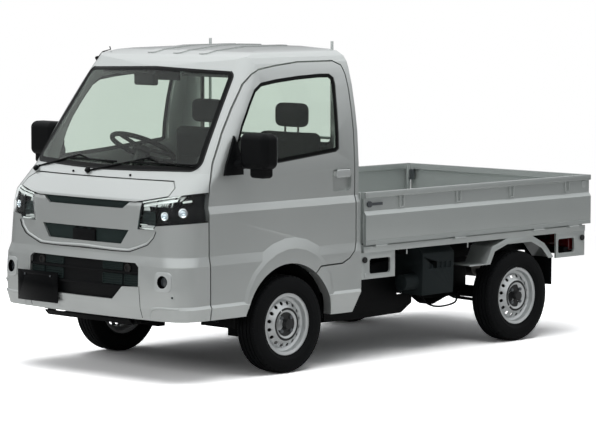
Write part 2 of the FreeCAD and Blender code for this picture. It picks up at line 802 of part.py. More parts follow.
# Steering wheel, column and dashboard
wheel_place_setback = 765.0
wheel_height = 1172.0
wheel_ring = 180.0
wheel_grip = 14.0
wheel_tilt = 27.0
wheel_hub = 52.0
wheel_hub_drop = 28.0
spoke_radius = 11.0
spoke_turns = [-20, 90, 200]
column_radius = 32.0
column_length = 926.0
shaft_radius = 12.0
shaft_play = 1.0
brace_setback = 245.0
brace_base = 916.0
brace_wall = 32.0
brace_reach = 109.0
dash_half = 622.0
dash_setback = 50.0
dash_depth = 390.0
dash_base = 820.0
dash_height = 265.0
dash_round = 20.0
dash_shares = [(0, 0.0), (0.75, 0.0), (1.0, 0.35), (0.97, 0.85), (0.85, 1.0), (0.42, 0.93), (0.42, 0.55),
               (0, 0.45)]
binnacle_half = 165.0
binnacle_shares = [(0.55, 0.80), (0.93, 0.80), (0.90, 1.12), (0.74, 1.19), (0.55, 1.0)]


def save_controls():
    tilt = math.radians(wheel_tilt)
    normal = Vector(0, math.sin(tilt), math.cos(tilt))
    centre = Vector(-seat_place, front_face + wheel_place_setback, wheel_height)
    ring = Part.makeTorus(wheel_ring, wheel_grip, centre, normal)
    hub = Part.makeCylinder(wheel_hub, wheel_hub_drop, centre - normal * wheel_hub_drop, normal)
    shaft = Part.makeCylinder(shaft_radius, wheel_hub_drop * 3, centre - normal * wheel_hub_drop * 3,
                              normal)
    spokes = []
    for turn in spoke_turns:
        angle = math.radians(turn)
        across = Vector(1, 0, 0) * math.cos(angle) + normal.cross(Vector(1, 0, 0)) * -math.sin(angle)
        spokes.append(Part.makeCylinder(spoke_radius, wheel_ring, centre - normal * wheel_grip / 2,
                                        across))
    save("steering_wheel", fused([ring, hub, shaft] + spokes))

    size = (dash_depth, dash_height)
    place = (front_face + dash_setback, dash_base)
    dash = round_x(placed(dash_shares, place, size), dash_round, -dash_half, dash_half)
    hood = along_x(placed(binnacle_shares, place, size), centre.x - binnacle_half,
                   centre.x + binnacle_half)
    top = centre - normal * (wheel_hub_drop + moving_gap)
    bottom = centre - normal * column_length
    brace = box((centre.x - brace_wall / 2, front_face + brace_setback, brace_base),
                (centre.x + brace_wall / 2, centre.y - brace_reach, brace_base + brace_wall))
    column = Part.makeCylinder(column_radius, (top - bottom).Length, bottom, normal)
    bore = Part.makeCylinder(shaft_radius + shaft_play, wheel_hub_drop * 3,
                             top - normal * wheel_hub_drop * 3,
                             normal)
    floor_cap = box((-width, front_face, footwell_height + floor_plate + seat_gap),
                    (width, 0, cab_height))
    room = cab_body(side_wall + seat_gap, side_wall + seat_gap, front_wall + seat_gap,
                    rear_wall, roof_wall)
    save("dashboard", fused([dash, hood, column, brace]).cut(bore).common(floor_cap).common(room))


# Ladder frame and the sills that carry the bed
rail_inner = 330.0
rail_wall = 50.0
rail_depth = 74.0
rail_front_setback = 80.0
rail_bottom = 480.0
rail_rear_inset = 55.0
sill_wall = 45.0
tie_rise = 15.0
bed_sill_half = 550.0
bed_sill_shares = [0.05, 0.262, 0.452, 0.64, 0.80, 0.925]
skid_half = 340.0
skid_setback = 45.0
skid_length = 160.0
skid_bottom = 297.0
skid_wall = 8.0
skid_lip = 26.0
# Engine and gearbox, one block each
engine_half = 230.0
engine_start_setback = 760.0
engine_length = 620.0
engine_bottom = 250.0
engine_height = 340.0
gearbox_half = 140.0
gearbox_length = 380.0
gearbox_drop = 130.0
shaft_tube = 32.0
# Axles and springs
kingpin_place = 540.0
strut_radius = 24.0
strut_top = 588.0
spindle_radius = 18.0
spindle_reach = 15.0
drum_radius = 95.0
drum_depth = 61.0
axle_radius = 35.0
diff_radius = 105.0
nose_radius = 45.5
spring_place = 430.0
spring_width = 50.0
spring_wall = 18.0
spring_half = 440.0
spring_rise = 130.0
arm_wall = 26.0


def save_frame():
    riser = front_face + riser_setback
    start = front_face + rail_front_setback
    low = footwell_height - seat_gap - rail_depth
    line = [(start, low), (riser + riser_lean, low), (riser + 3 * riser_lean, rail_bottom),
            (rear_face - rail_rear_inset, rail_bottom)]
    rail = along_x(strip(line, rail_depth), rail_inner, rail_inner + rail_wall)
    pieces = both(rail)
    engine_tie = front_face + engine_start_setback - sill_wall
    ties = [(start + overrun, low), (engine_tie, rail_bottom), (bed_front, rail_bottom),
            (rear_axle - spring_half, rail_bottom), (rear_face - rail_rear_inset * 2, rail_bottom)]
    for y, z in ties:
        pieces.append(box((-rail_inner, y - sill_wall / 2, z + tie_rise),
                          (rail_inner, y + sill_wall / 2, z + sill_wall)))
    skid_start = front_face + skid_setback
    tray = [(skid_start, skid_bottom + skid_lip), (skid_start + skid_lip, skid_bottom),
            (skid_start + skid_length, skid_bottom), (skid_start + skid_length + skid_lip, low)]
    pieces.append(along_x(strip(tray, skid_wall), -skid_half, skid_half))
    for x in (-rail_inner - rail_wall / 2, rail_inner):
        pieces.append(box((x, start, skid_bottom + skid_wall / 2),
                          (x + rail_wall / 2, start + overrun, low + skid_wall)))
    save("ladder_frame", fused(pieces))


# Outlines of the wheel: the rim's section as shares of half its width and of its well, the disc's
# as shares of its offset and the well's radius, the tyre's as shares of half its width and its wall
rim_shares = [(0.965, 0), (0.5, -0.16), (0.3, -1.0), (-0.3, -1.0), (-0.5, -0.16), (-0.965, 0)]
disc_shares = [(0.316, 1.0), (0.62, 0.9405), (0.82, 0.824), (1.12, 0.684), (1.12, 0.606), (0.98, 0.513),
               (0.98, 0)]
tyre_shares = [(0.62, 0.0), (0.66, 0.12), (0.86, 0.20), (0.97, 0.36), (1.0, 0.52), (0.97, 0.70),
               (0.92, 0.84),
               (0.84, 0.94), (0.74, 0.975), (0.40, 0.995), (0, 1.0)]


def wheel_parts(centre):
    # The left wheel's rim, brake drum and tyre about its centre
    half = rim_width / 2
    line = [(-half - rim_lip, rim_radius + rim_flange), (-half, rim_radius + rim_flange)]
    line += [(-a * half, rim_radius + b * rim_well) for a, b in rim_shares]
    line += [(half, rim_radius + rim_flange), (half + rim_lip, rim_radius + rim_flange)]
    barrel = turned(strip(line, -rim_wall), centre)
    well = rim_radius - rim_well - rim_wall / 2
    disc = turned(strip(placed(disc_shares, (0, 0), (disc_offset, well)), disc_wall), centre)
    vents = []
    for i in range(vent_count):
        turn = 2 * math.pi * (i + 0.5) / vent_count
        base = centre + Vector(0, math.cos(turn) * vent_circle, math.sin(turn) * vent_circle)
        vents.append(Part.makeCylinder(vent_radius, rim_width, base, Vector(1, 0, 0)))
    disc = disc.cut(vents)
    seat = disc_shares[-1][0] * disc_offset - disc_wall
    nuts = []
    for i in range(nut_count):
        turn = math.pi / 4 + math.pi / 2 * i
        base = centre + Vector(seat, math.cos(turn) * nut_circle, math.sin(turn) * nut_circle)
        nuts.append(Part.makeCylinder(nut_radius, nut_height + disc_wall, base, Vector(1, 0, 0)))
    cap = Part.makeCylinder(cap_radius, cap_depth, centre + Vector(seat, 0, 0), Vector(1, 0, 0))
    rim = fused([barrel, disc] + nuts + [cap])
    drum_start = centre + Vector(seat - seat_gap - drum_depth, 0, 0)
    drum = Part.makeCylinder(drum_radius, drum_depth, drum_start, Vector(1, 0, 0))
    bore = Part.makeCylinder(spindle_radius + seat_gap, drum_depth - rim_lip, drum_start, Vector(1, 0, 0))
    bead = rim_radius + seat_gap
    outline = placed(tyre_shares, (0, bead), (tyre_width / 2, tyre_radius - bead))
    tyre = turned([(-x, r) for x, r in outline[:-1]] + outline[::-1], centre)
    return [rim, drum.cut(bore)], tyre


def save_wheels():
    for end, y, track in (("front", front_axle, front_track), ("rear", rear_axle, rear_track)):
        rim, tyre = wheel_parts(Vector(track / 2, y, tyre_radius))
        save("rim_" + end + "_left", rim)
        save("tyre_" + end + "_left", tyre)
        save("rim_" + end + "_right", [mirrored(r) for r in rim])
        save("tyre_" + end + "_right", mirrored(tyre))


def save_axles():
    hub_face = disc_shares[-1][0] * disc_offset - disc_wall - seat_gap - drum_depth
    centre = front_track / 2
    boss_end = centre + hub_face - moving_gap
    foot = tyre_radius - 2 * axle_radius
    strut = rod((kingpin_place, front_axle, foot), (kingpin_place, front_axle, strut_top), strut_radius)
    boss = rod((kingpin_place, front_axle, tyre_radius), (boss_end, front_axle, tyre_radius), axle_radius)
    spindle = rod((kingpin_place, front_axle, tyre_radius),
                  (centre + spindle_reach, front_axle, tyre_radius),
                  spindle_radius)
    knuckle = fused([strut, boss, spindle])
    save("knuckle_left", knuckle)
    save("knuckle_right", mirrored(knuckle))
    arm_top = foot - seat_gap
    arm = box((rail_inner - rail_wall, front_axle - arm_wall, arm_top - arm_wall),
              (kingpin_place + arm_wall / 2, front_axle + arm_wall, arm_top))
    post = box((rail_inner - rail_wall, front_axle - arm_wall, arm_top - arm_wall),
               (rail_inner + rail_wall, front_axle + arm_wall, rail_bottom - seat_gap))
    collar_low = (kingpin_place, front_axle, strut_top - rail_wall)
    collar = rod(collar_low, (kingpin_place, front_axle, strut_top + moving_gap),
                 strut_radius + arm_wall / 2)
    socket = rod(collar_low, (kingpin_place, front_axle, strut_top + seat_gap), strut_radius + seat_gap)
    under_arch = Part.makeCylinder(arch_radius - seat_gap, half_width,
                                   Vector(0, front_axle, tyre_radius), Vector(1, 0, 0))
    save("front_suspension", both(fused([arm, post])) + both(collar.cut(socket).common(under_arch)))

    centre = rear_track / 2
    half_line = [(centre + spindle_reach, 0), (centre + spindle_reach, spindle_radius),
                 (centre + hub_face - moving_gap, spindle_radius), (centre + hub_face - moving_gap,
                                                                    axle_radius),
                 (2 * axle_radius + diff_radius, axle_radius), (diff_radius * 3 / 4, diff_radius * 4 / 5),
                 (diff_radius / 3, diff_radius)]
    tube = turned(half_line + [(-x, r) for x, r in half_line[::-1]], Vector(0, rear_axle, tyre_radius))
    nose = rod((0, rear_axle, tyre_radius), (0, rear_axle - 2 * diff_radius, tyre_radius + axle_radius),
               nose_radius)
    save("rear_axle", fused([tube, nose]))

    low = tyre_radius - axle_radius - seat_gap - spring_wall
    line = [(rear_axle - spring_half, low + spring_rise),
            (rear_axle - spring_half / 2, low + spring_rise / 4),
            (rear_axle - axle_radius, low), (rear_axle + axle_radius, low),
            (rear_axle + spring_half / 2, low + spring_rise / 4), (rear_axle + spring_half,
                                                                   low + spring_rise)]
    inner = spring_place - spring_width / 2
    outer = spring_place + spring_width / 2
    hangers = []
    for y in (rear_axle - spring_half, rear_axle + spring_half):
        hangers.append(box((inner, y - spring_wall, low + spring_rise),
                           (outer, y + spring_wall, rail_bottom + spring_wall)))
        hangers.append(box((rail_inner + rail_wall + seat_gap, y - spring_wall, rail_bottom + seat_gap),
                           (outer, y + spring_wall, rail_bottom + rail_depth / 2)))
    save("leaf_springs", both(fused([along_x(strip(line, spring_wall), inner, outer)] + hangers)))


# What hangs on the frame
tank_width = 270.0
tank_setback = 206.0
tank_length = 500.0
tank_bottom = 250.0
tank_height = 215.0
battery_outer = 660.0
battery_width = 235.0
battery_lead = 767.0
battery_length = 266.0
battery_bottom = 321.0
battery_height = 278.0
battery_shares = [(0, 0), (0.97, 0), (1.0, 0.80), (0.985, 0.86), (0.80, 1.0), (0, 1.0)]
battery_slot_inset = 47.0
battery_slot_length = 30.0
battery_slot_pitch = 41.0
battery_slot_base = 470.0
battery_slot_height = 34.0
battery_slot_depth = 10.0
battery_slot_count = 5
canister_radius = 46.0
canister_length = 105.0
canister_drop = 78.0
canister_inset = 75.0
muffler_radius = 60.0
muffler_length = 420.0
muffler_rise = 84.0
pipe_radius = 19.0


def save_drive():
    start = front_face + engine_start_setback
    top = engine_bottom + engine_height
    block = box((-engine_half, start, engine_bottom), (engine_half, start + engine_length, top))
    gearbox_end = start + engine_length + gearbox_length
    gearbox = box((-gearbox_half, start + engine_length, engine_bottom),
                  (gearbox_half, gearbox_end, top - gearbox_drop))
    middle = start + engine_length / 2
    mount = box((engine_half, middle - rail_wall, rail_bottom + seat_gap),
                (rail_inner - seat_gap, middle + rail_wall, rail_bottom + rail_wall))
    nose = Vector(0, gearbox_end, (engine_bottom + top - gearbox_drop) / 2)
    end = Vector(0, rear_axle - 2 * diff_radius + moving_gap, tyre_radius + axle_radius)
    shaft = Part.makeCylinder(shaft_tube, (end - nose).Length, nose, end - nose)
    shaft = shaft.cut(box((-shaft_tube, end.y - 2 * moving_gap, 0), (shaft_tube, rear_axle, top)))
    save("engine", fused([block, gearbox] + both(mount) + [shaft]))

    outer = rail_inner + rail_wall + seat_gap
    tank_start = bed_front + tank_setback
    tank = round_x(frame_of((tank_start, tank_bottom),
                            (tank_start + tank_length, tank_bottom + tank_height)),
                   rail_wall, -outer - tank_width, -outer)
    strap = box((-outer - rail_wall, tank_start + tank_length / 3, tank_bottom + tank_height),
                (-outer, tank_start + 2 * tank_length / 3, rail_bottom + rail_wall))
    save("fuel_tank", fused([tank, strap]))

    battery_start = rear_axle - battery_lead
    case = along_y(placed(battery_shares, (battery_outer - battery_width, battery_bottom),
                          (battery_width, battery_height)), battery_start, battery_start + battery_length)
    slots = []
    for i in range(battery_slot_count):
        y = battery_start + battery_slot_inset + i * battery_slot_pitch
        slots.append(box((battery_outer - battery_slot_depth, y, battery_slot_base),
                         (battery_outer, y + battery_slot_length,
                          battery_slot_base + battery_slot_height)))
    bracket = box((outer, battery_start + overrun, rail_bottom + seat_gap),
                  (battery_outer - battery_width, battery_start + battery_length - overrun,
                   rail_bottom + rail_wall))
    canister = rod((battery_outer - canister_inset, battery_start - canister_length,
                    battery_bottom + canister_drop),
                   (battery_outer - canister_inset, battery_start, battery_bottom + canister_drop),
                   canister_radius)
    save("battery_box", fused([case.cut(slots), bracket, canister]))

    y = rear_axle + spring_half / 2
    drum_z = tyre_radius + axle_radius + muffler_rise
    muffler = rod((-muffler_length / 2, y, drum_z), (muffler_length / 2, y, drum_z), muffler_radius)
    bar = box((-rail_inner + seat_gap, y - pipe_radius, rail_bottom + seat_gap),
              (rail_inner - seat_gap, y + pipe_radius, rail_bottom + pipe_radius))
    hooks = both(box((muffler_length / 2 - 2 * overrun, y - pipe_radius / 2, drum_z),
                     (muffler_length / 2 - overrun, y + pipe_radius / 2, rail_bottom + pipe_radius / 2)))
    tail = bent_tube([(muffler_length / 2 - overrun, y, drum_z - muffler_radius / 2),
                      (muffler_length / 2 + overrun, y, drum_z - muffler_radius / 2),
                      (muffler_length / 2 + overrun, rear_face - 2 * overrun, drum_z - muffler_radius)],
                     pipe_radius, 2 * pipe_radius)
    save("exhaust", fused([muffler, tail, bar] + hooks))


# Load bed
headboard_wall = 16.0
headboard_height = 290.0
post_place = 485.0
post_radius = 8.0
post_top = 1765.0
guard_bar_places = [1230.0, 1701.0]
rail_half_width = 722.0
gate_end_gap = 6.0
floor_groove_width = 46.0
floor_groove_depth = 5.0
floor_groove_pitch = 138.0
floor_groove_count = 10
floor_groove_inset = 60.0
hinge_leaf = 108.0
hinge_play = 1.0
pin_radius = 3.2
side_hinge_shares = [0.0405, 0.375, 0.7286, 0.893]
tail_hinge_shares = [-0.70, 0.0, 0.70]
gate_channel_share = 0.45
gate_panel_shares = [(0.0, 0.0), (0.0, 0.078), (0.06, 0.084), (0.0, 0.09), (0.0, 0.565),
                     (gate_channel_share, 0.64),
                     (gate_channel_share, 0.885), (0.0, 0.90), (0.0, 1.0), (1.0, 1.0), (1.0,
                                                                                        0.885), (0.62,
                                                                                                 0.87),
                     (0.62, 0.0)]
clip_shares = [0.147, 0.3896, 0.6246, 0.8807]
clip_radius = 3.0
clip_width = 34.0
clip_rise = 263.0
clip_drop = 66.0
clip_inset = 8.0
latch_length = 118.0
latch_setback = 28.0
latch_rise = 216.0
latch_height = 15.0
latch_inset = 5.0
latch_hub = 17.0
hook_shares = [0.1846, 0.4464, 0.9068]
hook_radius = 4.0
hook_drop = 30.0


def gate_profile(outer, base):
    # Cross-section of a drop side from its outer face inwards
    return placed(gate_panel_shares, (outer, base), (-gate_wall - gate_inset, gate_height))


def hinge_knuckle(x, z, start, leaf, rail_face, along):
    # A hinge of a drop side: the moving knuckle, and the fixed pin between its two ears
    def at(v, a):
        return (v, a, z) if along == "Y" else (a, v, z)

    first = start
    last = start + leaf
    ear = gate_pin_radius
    knuckle = rod(at(x, first + ear + hinge_play), at(x, last - ear - hinge_play), gate_pin_radius,
                  pin_radius + seat_gap)
    pin = rod(at(x, first), at(x, last), pin_radius)
    ears = []
    for a in (first, last - ear):
        low = at(rail_face - ear, a)
        high = at(x + pin_radius, a + ear)
        ears.append(box((min(low[0], high[0]), min(low[1], high[1]), z - pin_radius),
                        (max(low[0], high[0]), max(low[1], high[1]), z + pin_radius)))
    tab_low = at(x - pin_radius, first + ear + 2 * hinge_play)
    tab_high = at(x + pin_radius, last - ear - 2 * hinge_play)
    tab = box((min(tab_low[0], tab_high[0]), min(tab_low[1], tab_high[1]), z + pin_radius + seat_gap),
              (max(tab_low[0], tab_high[0]), max(tab_low[1], tab_high[1]),
               bed_floor_height + gate_inset))
    return [knuckle, tab], [pin] + ears


def rope_clip(y):
    # A wire loop that hangs in the drop side's channel
    x = half_width - clip_inset
    clip_top = bed_floor_height + clip_rise
    legs = [rod((x, y + side, clip_top), (x, y + side, clip_top - clip_drop), clip_radius)
            for side in (0, clip_width)]
    return legs + [rod((x, y, clip_top - clip_drop), (x, y + clip_width, clip_top - clip_drop),
                       clip_radius)]


def gate_latch():
    # The handle that holds the drop side at its front end
    x = half_width - gate_channel_share * (gate_wall + gate_inset) - weld
    latch_start = bed_front + latch_setback
    latch_base = bed_floor_height + latch_rise
    lever = box((x, latch_start, latch_base), (half_width - latch_inset, latch_start + latch_length,
                                               latch_base + latch_height))
    middle = latch_base + latch_height / 2
    hub = rod((x, latch_start + latch_hub, middle), (half_width - latch_inset, latch_start + latch_hub,
                                                     middle),
              latch_hub)
    return [lever, hub]


def rope_hooks(grow):
    # Pins under the bed's side rail that ropes are tied to
    top = bed_floor_height
    x = rail_half_width - 2 * hook_radius
    pins = []
    for share in hook_shares:
        y = bed_front + share * (rear_face - bed_front)
        pins.append(rod((x, y, top - bed_rail_height - hook_drop - grow), (x, y, top - floor_wall * 2),
                        hook_radius + grow))
    return pins


def save_bed():
    top = bed_floor_height
    bed_rear = rear_face - gate_wall - gate_inset - gate_end_gap
    bed_start = bed_front + gate_end_gap
    inner_half = half_width - gate_wall - gate_inset
    deck_half = inner_half - moving_gap
    deck = box((-deck_half, bed_start, top - floor_wall), (deck_half, bed_rear, top))
    grooves = []
    for i in range(floor_groove_count):
        x = (i - (floor_groove_count - 1) / 2) * floor_groove_pitch
        grooves.append(box((x - floor_groove_width / 2, bed_start + floor_groove_inset,
                            top - floor_groove_depth),
                           (x + floor_groove_width / 2, bed_rear - floor_groove_inset, top + overrun)))
    rail = box((inner_half - floor_wall * 2, bed_start, top - bed_rail_height),
               (rail_half_width, bed_rear, top - floor_wall))
    rear_sill = box((-inner_half + floor_wall * 2, bed_rear - floor_wall * 2, top - bed_rail_height),
                    (inner_half - floor_wall * 2, bed_rear, top - floor_wall))
    fixed = [deck.cut(grooves), rear_sill] + both(rail)
    for hook in rope_hooks(0):
        fixed += both(hook)
    sills = []
    rail_top = rail_bottom + rail_depth
    for share in bed_sill_shares:
        y = bed_front + share * (bed_rear - bed_front)
        sills.append(box((-bed_sill_half, y - sill_wall / 2, rail_top + seat_gap),
                         (bed_sill_half, y + sill_wall / 2, top - floor_wall - seat_gap)))
    save("bed_sills", sills)

    board_back = bed_start - seat_gap
    board = box((-inner_half, board_back - headboard_wall, top - bed_rail_height),
                (inner_half, board_back, top + headboard_height))
    post_y = board_back - headboard_wall / 2
    posts = [rod((x, post_y, top + headboard_height), (x, post_y, post_top), post_radius)
             for x in (-post_place, post_place)]
    bars = [rod((-post_place, post_y, z), (post_place, post_y, z), post_radius) for z in guard_bar_places]
    save("guard_frame", fused([board] + posts + bars))

    pin_x = half_width - gate_pin_radius
    pin_z = top - gate_pin_drop
    panel = along_y(gate_profile(half_width, top), bed_start, rear_face - gate_end_gap)
    moving = [panel] + gate_latch()
    for share in clip_shares:
        moving += rope_clip(bed_front + share * (rear_face - bed_front))
    for share in side_hinge_shares:
        start = bed_front + share * (rear_face - bed_front)
        parts = hinge_knuckle(pin_x, pin_z, start, hinge_leaf, rail_half_width, "Y")
        moving += parts[0]
        for piece in parts[1]:
            fixed += both(piece)
    gate = fused(moving)
    save("side_gate_left", gate)
    save("side_gate_right", mirrored(gate))
    tail_half = inner_half - gate_end_gap
    moving = [along_x(gate_profile(rear_face, top), -tail_half, tail_half)]
    pin_y = rear_face - gate_pin_radius
    for share in tail_hinge_shares:
        start = share * half_width - hinge_leaf / 2
        parts = hinge_knuckle(pin_y, pin_z, start, hinge_leaf, bed_rear, "X")
        moving += parts[0]
        fixed += parts[1]
    save("tailgate", fused(moving))
    save("bed_floor", fused(fixed))


# Panels, guards and lamps under the bed
panel_wall = 14.0
panel_base = 461.0
panel_front_lead = 20.0
panel_front_length = 278.0
panel_rear_setback = 334.0
panel_rear_inset = 42.5
panel_window_base = 488.0
panel_window_height = 84.0
panel_window_corner = 15.0
front_window_inset = 72.0
front_window_length = 168.0
rear_window_inset = 18.0
rear_window_length = 148.0
house_inner = 560.0
house_wall = 6.0
house_flange = 28.0
house_lead = 438.0
house_reach = 305.0
house_base = 467.0
house_shares = [(0, 0.02), (0.2, 0), (0.27, 0.68), (0.44, 0.965), (0.743, 0.965), (0.887, 0.61), (1.0, 0)]
flap_wall = 5.0
flap_low = 306.0
flap_high = 485.0
flap_inner = 575.0
front_flap_low = 240.0
front_flap_high = 400.0
front_flap_inner = 570.0
lamp_depth = 107.0
lamp_inset = 45.5
lamp_low = 497.0
lamp_half_inner = 430.0
lamp_half_outer = 690.0


def side_panel(start, end, window_inset, window_length, top, outer):
    panel = box((outer - panel_wall, start, panel_base), (outer, end, top))
    window_start = start + window_inset
    window = round_x(frame_of((window_start, panel_window_base),
                              (window_start + window_length, panel_window_base + panel_window_height)),
                     panel_window_corner, half_width / 2, width)
    return panel.cut(window)


def save_under_bed():
    top = bed_floor_height - bed_rail_height - seat_gap
    outer = rail_half_width - seat_gap
    house_start = rear_axle - house_lead
    house_end = rear_axle + house_reach
    start = bed_front - panel_front_lead
    panels = both(side_panel(start, start + panel_front_length, front_window_inset, front_window_length,
                             top, outer))
    panels += both(side_panel(rear_axle + panel_rear_setback, rear_face - panel_rear_inset,
                              rear_window_inset,
                              rear_window_length, top, outer).cut(rope_hooks(weld)))
    size = (house_end - house_start, top - house_base)
    line = placed(house_shares, (house_start, house_base), size)
    house = along_x(strip(line, house_wall), house_inner, outer)
    flange = along_x(strip(line, -house_flange), outer - house_wall, outer)
    panels += both(fused([house, flange]).common(box((0, house_start, house_base),
                                                     (width, house_end, top))))
    save("bed_side_panels", panels)
    flap_y = house_end + seat_gap
    rear_flap = box((flap_inner, flap_y, flap_low), (outer - panel_wall, flap_y + flap_wall, flap_high))
    flap_y = front_axle + arch_radius + wheelhouse_wall + seat_gap
    front_flap = box((front_flap_inner, flap_y, front_flap_low),
                     (floor_half + moving_gap, flap_y + flap_wall, front_flap_high))
    save("mud_flaps", both(rear_flap) + both(front_flap))
    lamp_end = rear_face - lamp_inset
    lamp = box((lamp_half_inner, lamp_end - lamp_depth, lamp_low), (lamp_half_outer, lamp_end, top))
    save("tail_lamps", both(lamp))


# Mirrors, plate and wipers
mirror_width = 200.0
mirror_depth = 115.0
mirror_height = 190.0
mirror_round = 38.0
mirror_reach = 107.5
mirror_setback = 507.5
mirror_rise = 109.0
mirror_base_wall = 12.0
mirror_base_shares = [(0, 0), (0.16, 0.0), (0.16, 0.14), (0.1, 0.42), (0.02, 0.12)]
mirror_arm_radius = 22.0
mirror_arm_drop = 80.0
lobe_width = 110.0
lobe_height = 96.0
lobe_depth = 78.0
lobe_shift = 18.0
lobe_drop = 92.0
plate_width = 330.0
plate_height = 165.0
plate_wall = 3.0
plate_left = -508.0
plate_base = 374.0
plate_hole_radius = 3.5
plate_hole_pitch = 210.0
plate_hole_drop = 22.0
wiper_radius = 5.0
wiper_boss = 9.0
wiper_link_share = 0.45
wiper_place_shares = [((-0.7742, 0.15289, 0.62687), (-0.3295, 0.15573, 0.66705),
                       (-0.4515, 0.15218, 0.65557), (0.1071, 0.13941, 0.65499)),
                      ((-0.1342, 0.11458, 0.62687), (0.4149, 0.16353, 0.67164),
                       (0.2441, 0.14083, 0.65614), (0.8651, 0.18269, 0.65614))]
room_mirror_half = 120.0
room_mirror_setback = 607.5
room_mirror_top_drop = 78.0
room_mirror_depth = 20.0
room_mirror_drop = 60.0


def rounded_box(centre, size, radius):
    low = [centre[i] - size[i] / 2 for i in range(3)]
    high = [centre[i] + size[i] / 2 for i in range(3)]
    block = box(low, high)
    return block.makeFillet(radius, block.Edges)


def save_mirrors(skin):
    mirror_x = half_width + mirror_reach
    mirror_y = front_face + mirror_setback
    mirror_z = door_window_base + mirror_rise
    head = rounded_box((mirror_x, mirror_y, mirror_z), (mirror_width, mirror_depth, mirror_height),
                       mirror_round)
    lobe = rounded_box((mirror_x + lobe_shift, mirror_y, mirror_z - lobe_drop),
                       (lobe_width, lobe_depth, lobe_height), mirror_round / 2)
    layer = deep_body(-mirror_base_wall).cut(skin)
    start = front_face + door_window_setback - overrun
    patch = along_x(placed(mirror_base_shares, (start, door_window_base - overrun / 2),
                           (door_window_length, door_window_height)), half_width / 2, width)
    base = largest(layer.common(patch))
    arm = rod((half_width - side_wall, start + 2 * overrun, mirror_z - mirror_arm_drop),
              (mirror_x, mirror_y, mirror_z - mirror_height / 4), mirror_arm_radius)
    mirror = fused([head, lobe, base, arm.cut(skin)])
    save("mirror_left", mirror)
    save("mirror_right", mirrored(mirror))


def save_trim():
    skin = deep_body(-seat_gap)
    save_mirrors(skin)
    plate = box((plate_left, front_face, plate_base),
                (plate_left + plate_width, front_face + plate_wall, plate_base + plate_height))
    hole_z = plate_base + plate_height - plate_hole_drop
    holes = []
    for side in (-1, 1):
        x = plate_left + plate_width / 2 + side * plate_hole_pitch / 2
        holes.append(rod((x, front_face - overrun, hole_z), (x, front_face + overrun, hole_z),
                         plate_hole_radius))
    bracket = box((plate_left + overrun, front_face + plate_wall / 2, plate_base),
                  (plate_left + plate_width - overrun, front_face + overrun, plate_base + overrun))
    save("number_plate", fused([plate.cut(holes), bracket.cut(skin)]))
    wipers = []
    for places in wiper_place_shares:
        pivot, tip, left, right = [(a * half_width, front_face + b * cab_length, c * cab_height)
                                   for a, b, c in places]
        boss = rod((pivot[0], pivot[1], pivot[2] - 4 * wiper_boss), pivot, wiper_boss).cut(skin)
        arm = rod((pivot[0], pivot[1], pivot[2] - wiper_radius), tip, wiper_radius).cut(skin)
        link = rod(tip, [left[i] + wiper_link_share * (right[i] - left[i]) for i in range(3)],
                   wiper_radius)
        blade = rod(left, right, wiper_radius)
        wipers.append(largest(fused([largest(boss), arm, link, blade]).cut(skin)))
    save("wipers", wipers)
    room_mirror_y = front_face + room_mirror_setback
    bar_low = windshield_base + windshield_height - room_mirror_top_drop
    bar = box((-room_mirror_half, room_mirror_y, bar_low),
              (room_mirror_half, room_mirror_y + room_mirror_depth, bar_low + room_mirror_drop))
    stem_z = bar_low + overrun
    stem = rod((0, room_mirror_y, stem_z), (0, room_mirror_y - 3 * overrun, stem_z), mirror_base_wall)
    room = cab_body(glass_wall + seat_gap, glass_wall + seat_gap, glass_wall + seat_gap,
                    glass_wall, glass_wall + seat_gap)
    save("interior_mirror", fused([bar, largest(stem.common(room))]))


def main():
    os.makedirs("parts", exist_ok=True)
    save_cab()
    save_seats()
    save_controls()
    save_frame()
    save_wheels()
    save_axles()
    save_drive()
    save_bed()
    save_under_bed()
    save_trim()


main()
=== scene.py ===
import json
import math
import bmesh
import bpy
from mathutils import Matrix, Vector
from mathutils.bvhtree import BVHTree


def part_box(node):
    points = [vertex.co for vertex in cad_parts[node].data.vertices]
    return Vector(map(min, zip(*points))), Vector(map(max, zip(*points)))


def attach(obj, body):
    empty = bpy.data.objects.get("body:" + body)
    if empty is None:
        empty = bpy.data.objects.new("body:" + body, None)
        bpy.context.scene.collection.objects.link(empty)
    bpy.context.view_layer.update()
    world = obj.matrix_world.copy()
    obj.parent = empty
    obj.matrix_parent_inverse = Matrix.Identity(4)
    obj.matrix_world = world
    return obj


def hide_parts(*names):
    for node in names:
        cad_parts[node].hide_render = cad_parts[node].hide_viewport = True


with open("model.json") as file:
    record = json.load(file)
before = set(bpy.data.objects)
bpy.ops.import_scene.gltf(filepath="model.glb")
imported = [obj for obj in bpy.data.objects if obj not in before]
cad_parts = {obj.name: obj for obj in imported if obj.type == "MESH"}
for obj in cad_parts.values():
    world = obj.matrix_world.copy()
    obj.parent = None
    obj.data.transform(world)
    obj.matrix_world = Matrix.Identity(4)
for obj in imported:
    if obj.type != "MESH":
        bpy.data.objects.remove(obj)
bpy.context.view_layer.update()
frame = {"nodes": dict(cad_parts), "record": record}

nodes = frame["nodes"]
print("frame loaded:", len(nodes), "nodes")

# Camera solved from the wheels, the plate and the bed in the photograph
view = {
    "azimuth": 44.506, "elevation": 4.941, "roll": 0.015, "reach": 200,
    "place": (11.7254, -11.9285, 2.1962),
    "focalPixels": 2934.03, "centrePixels": (303.442, 216.254), "frame": (596, 434),
}


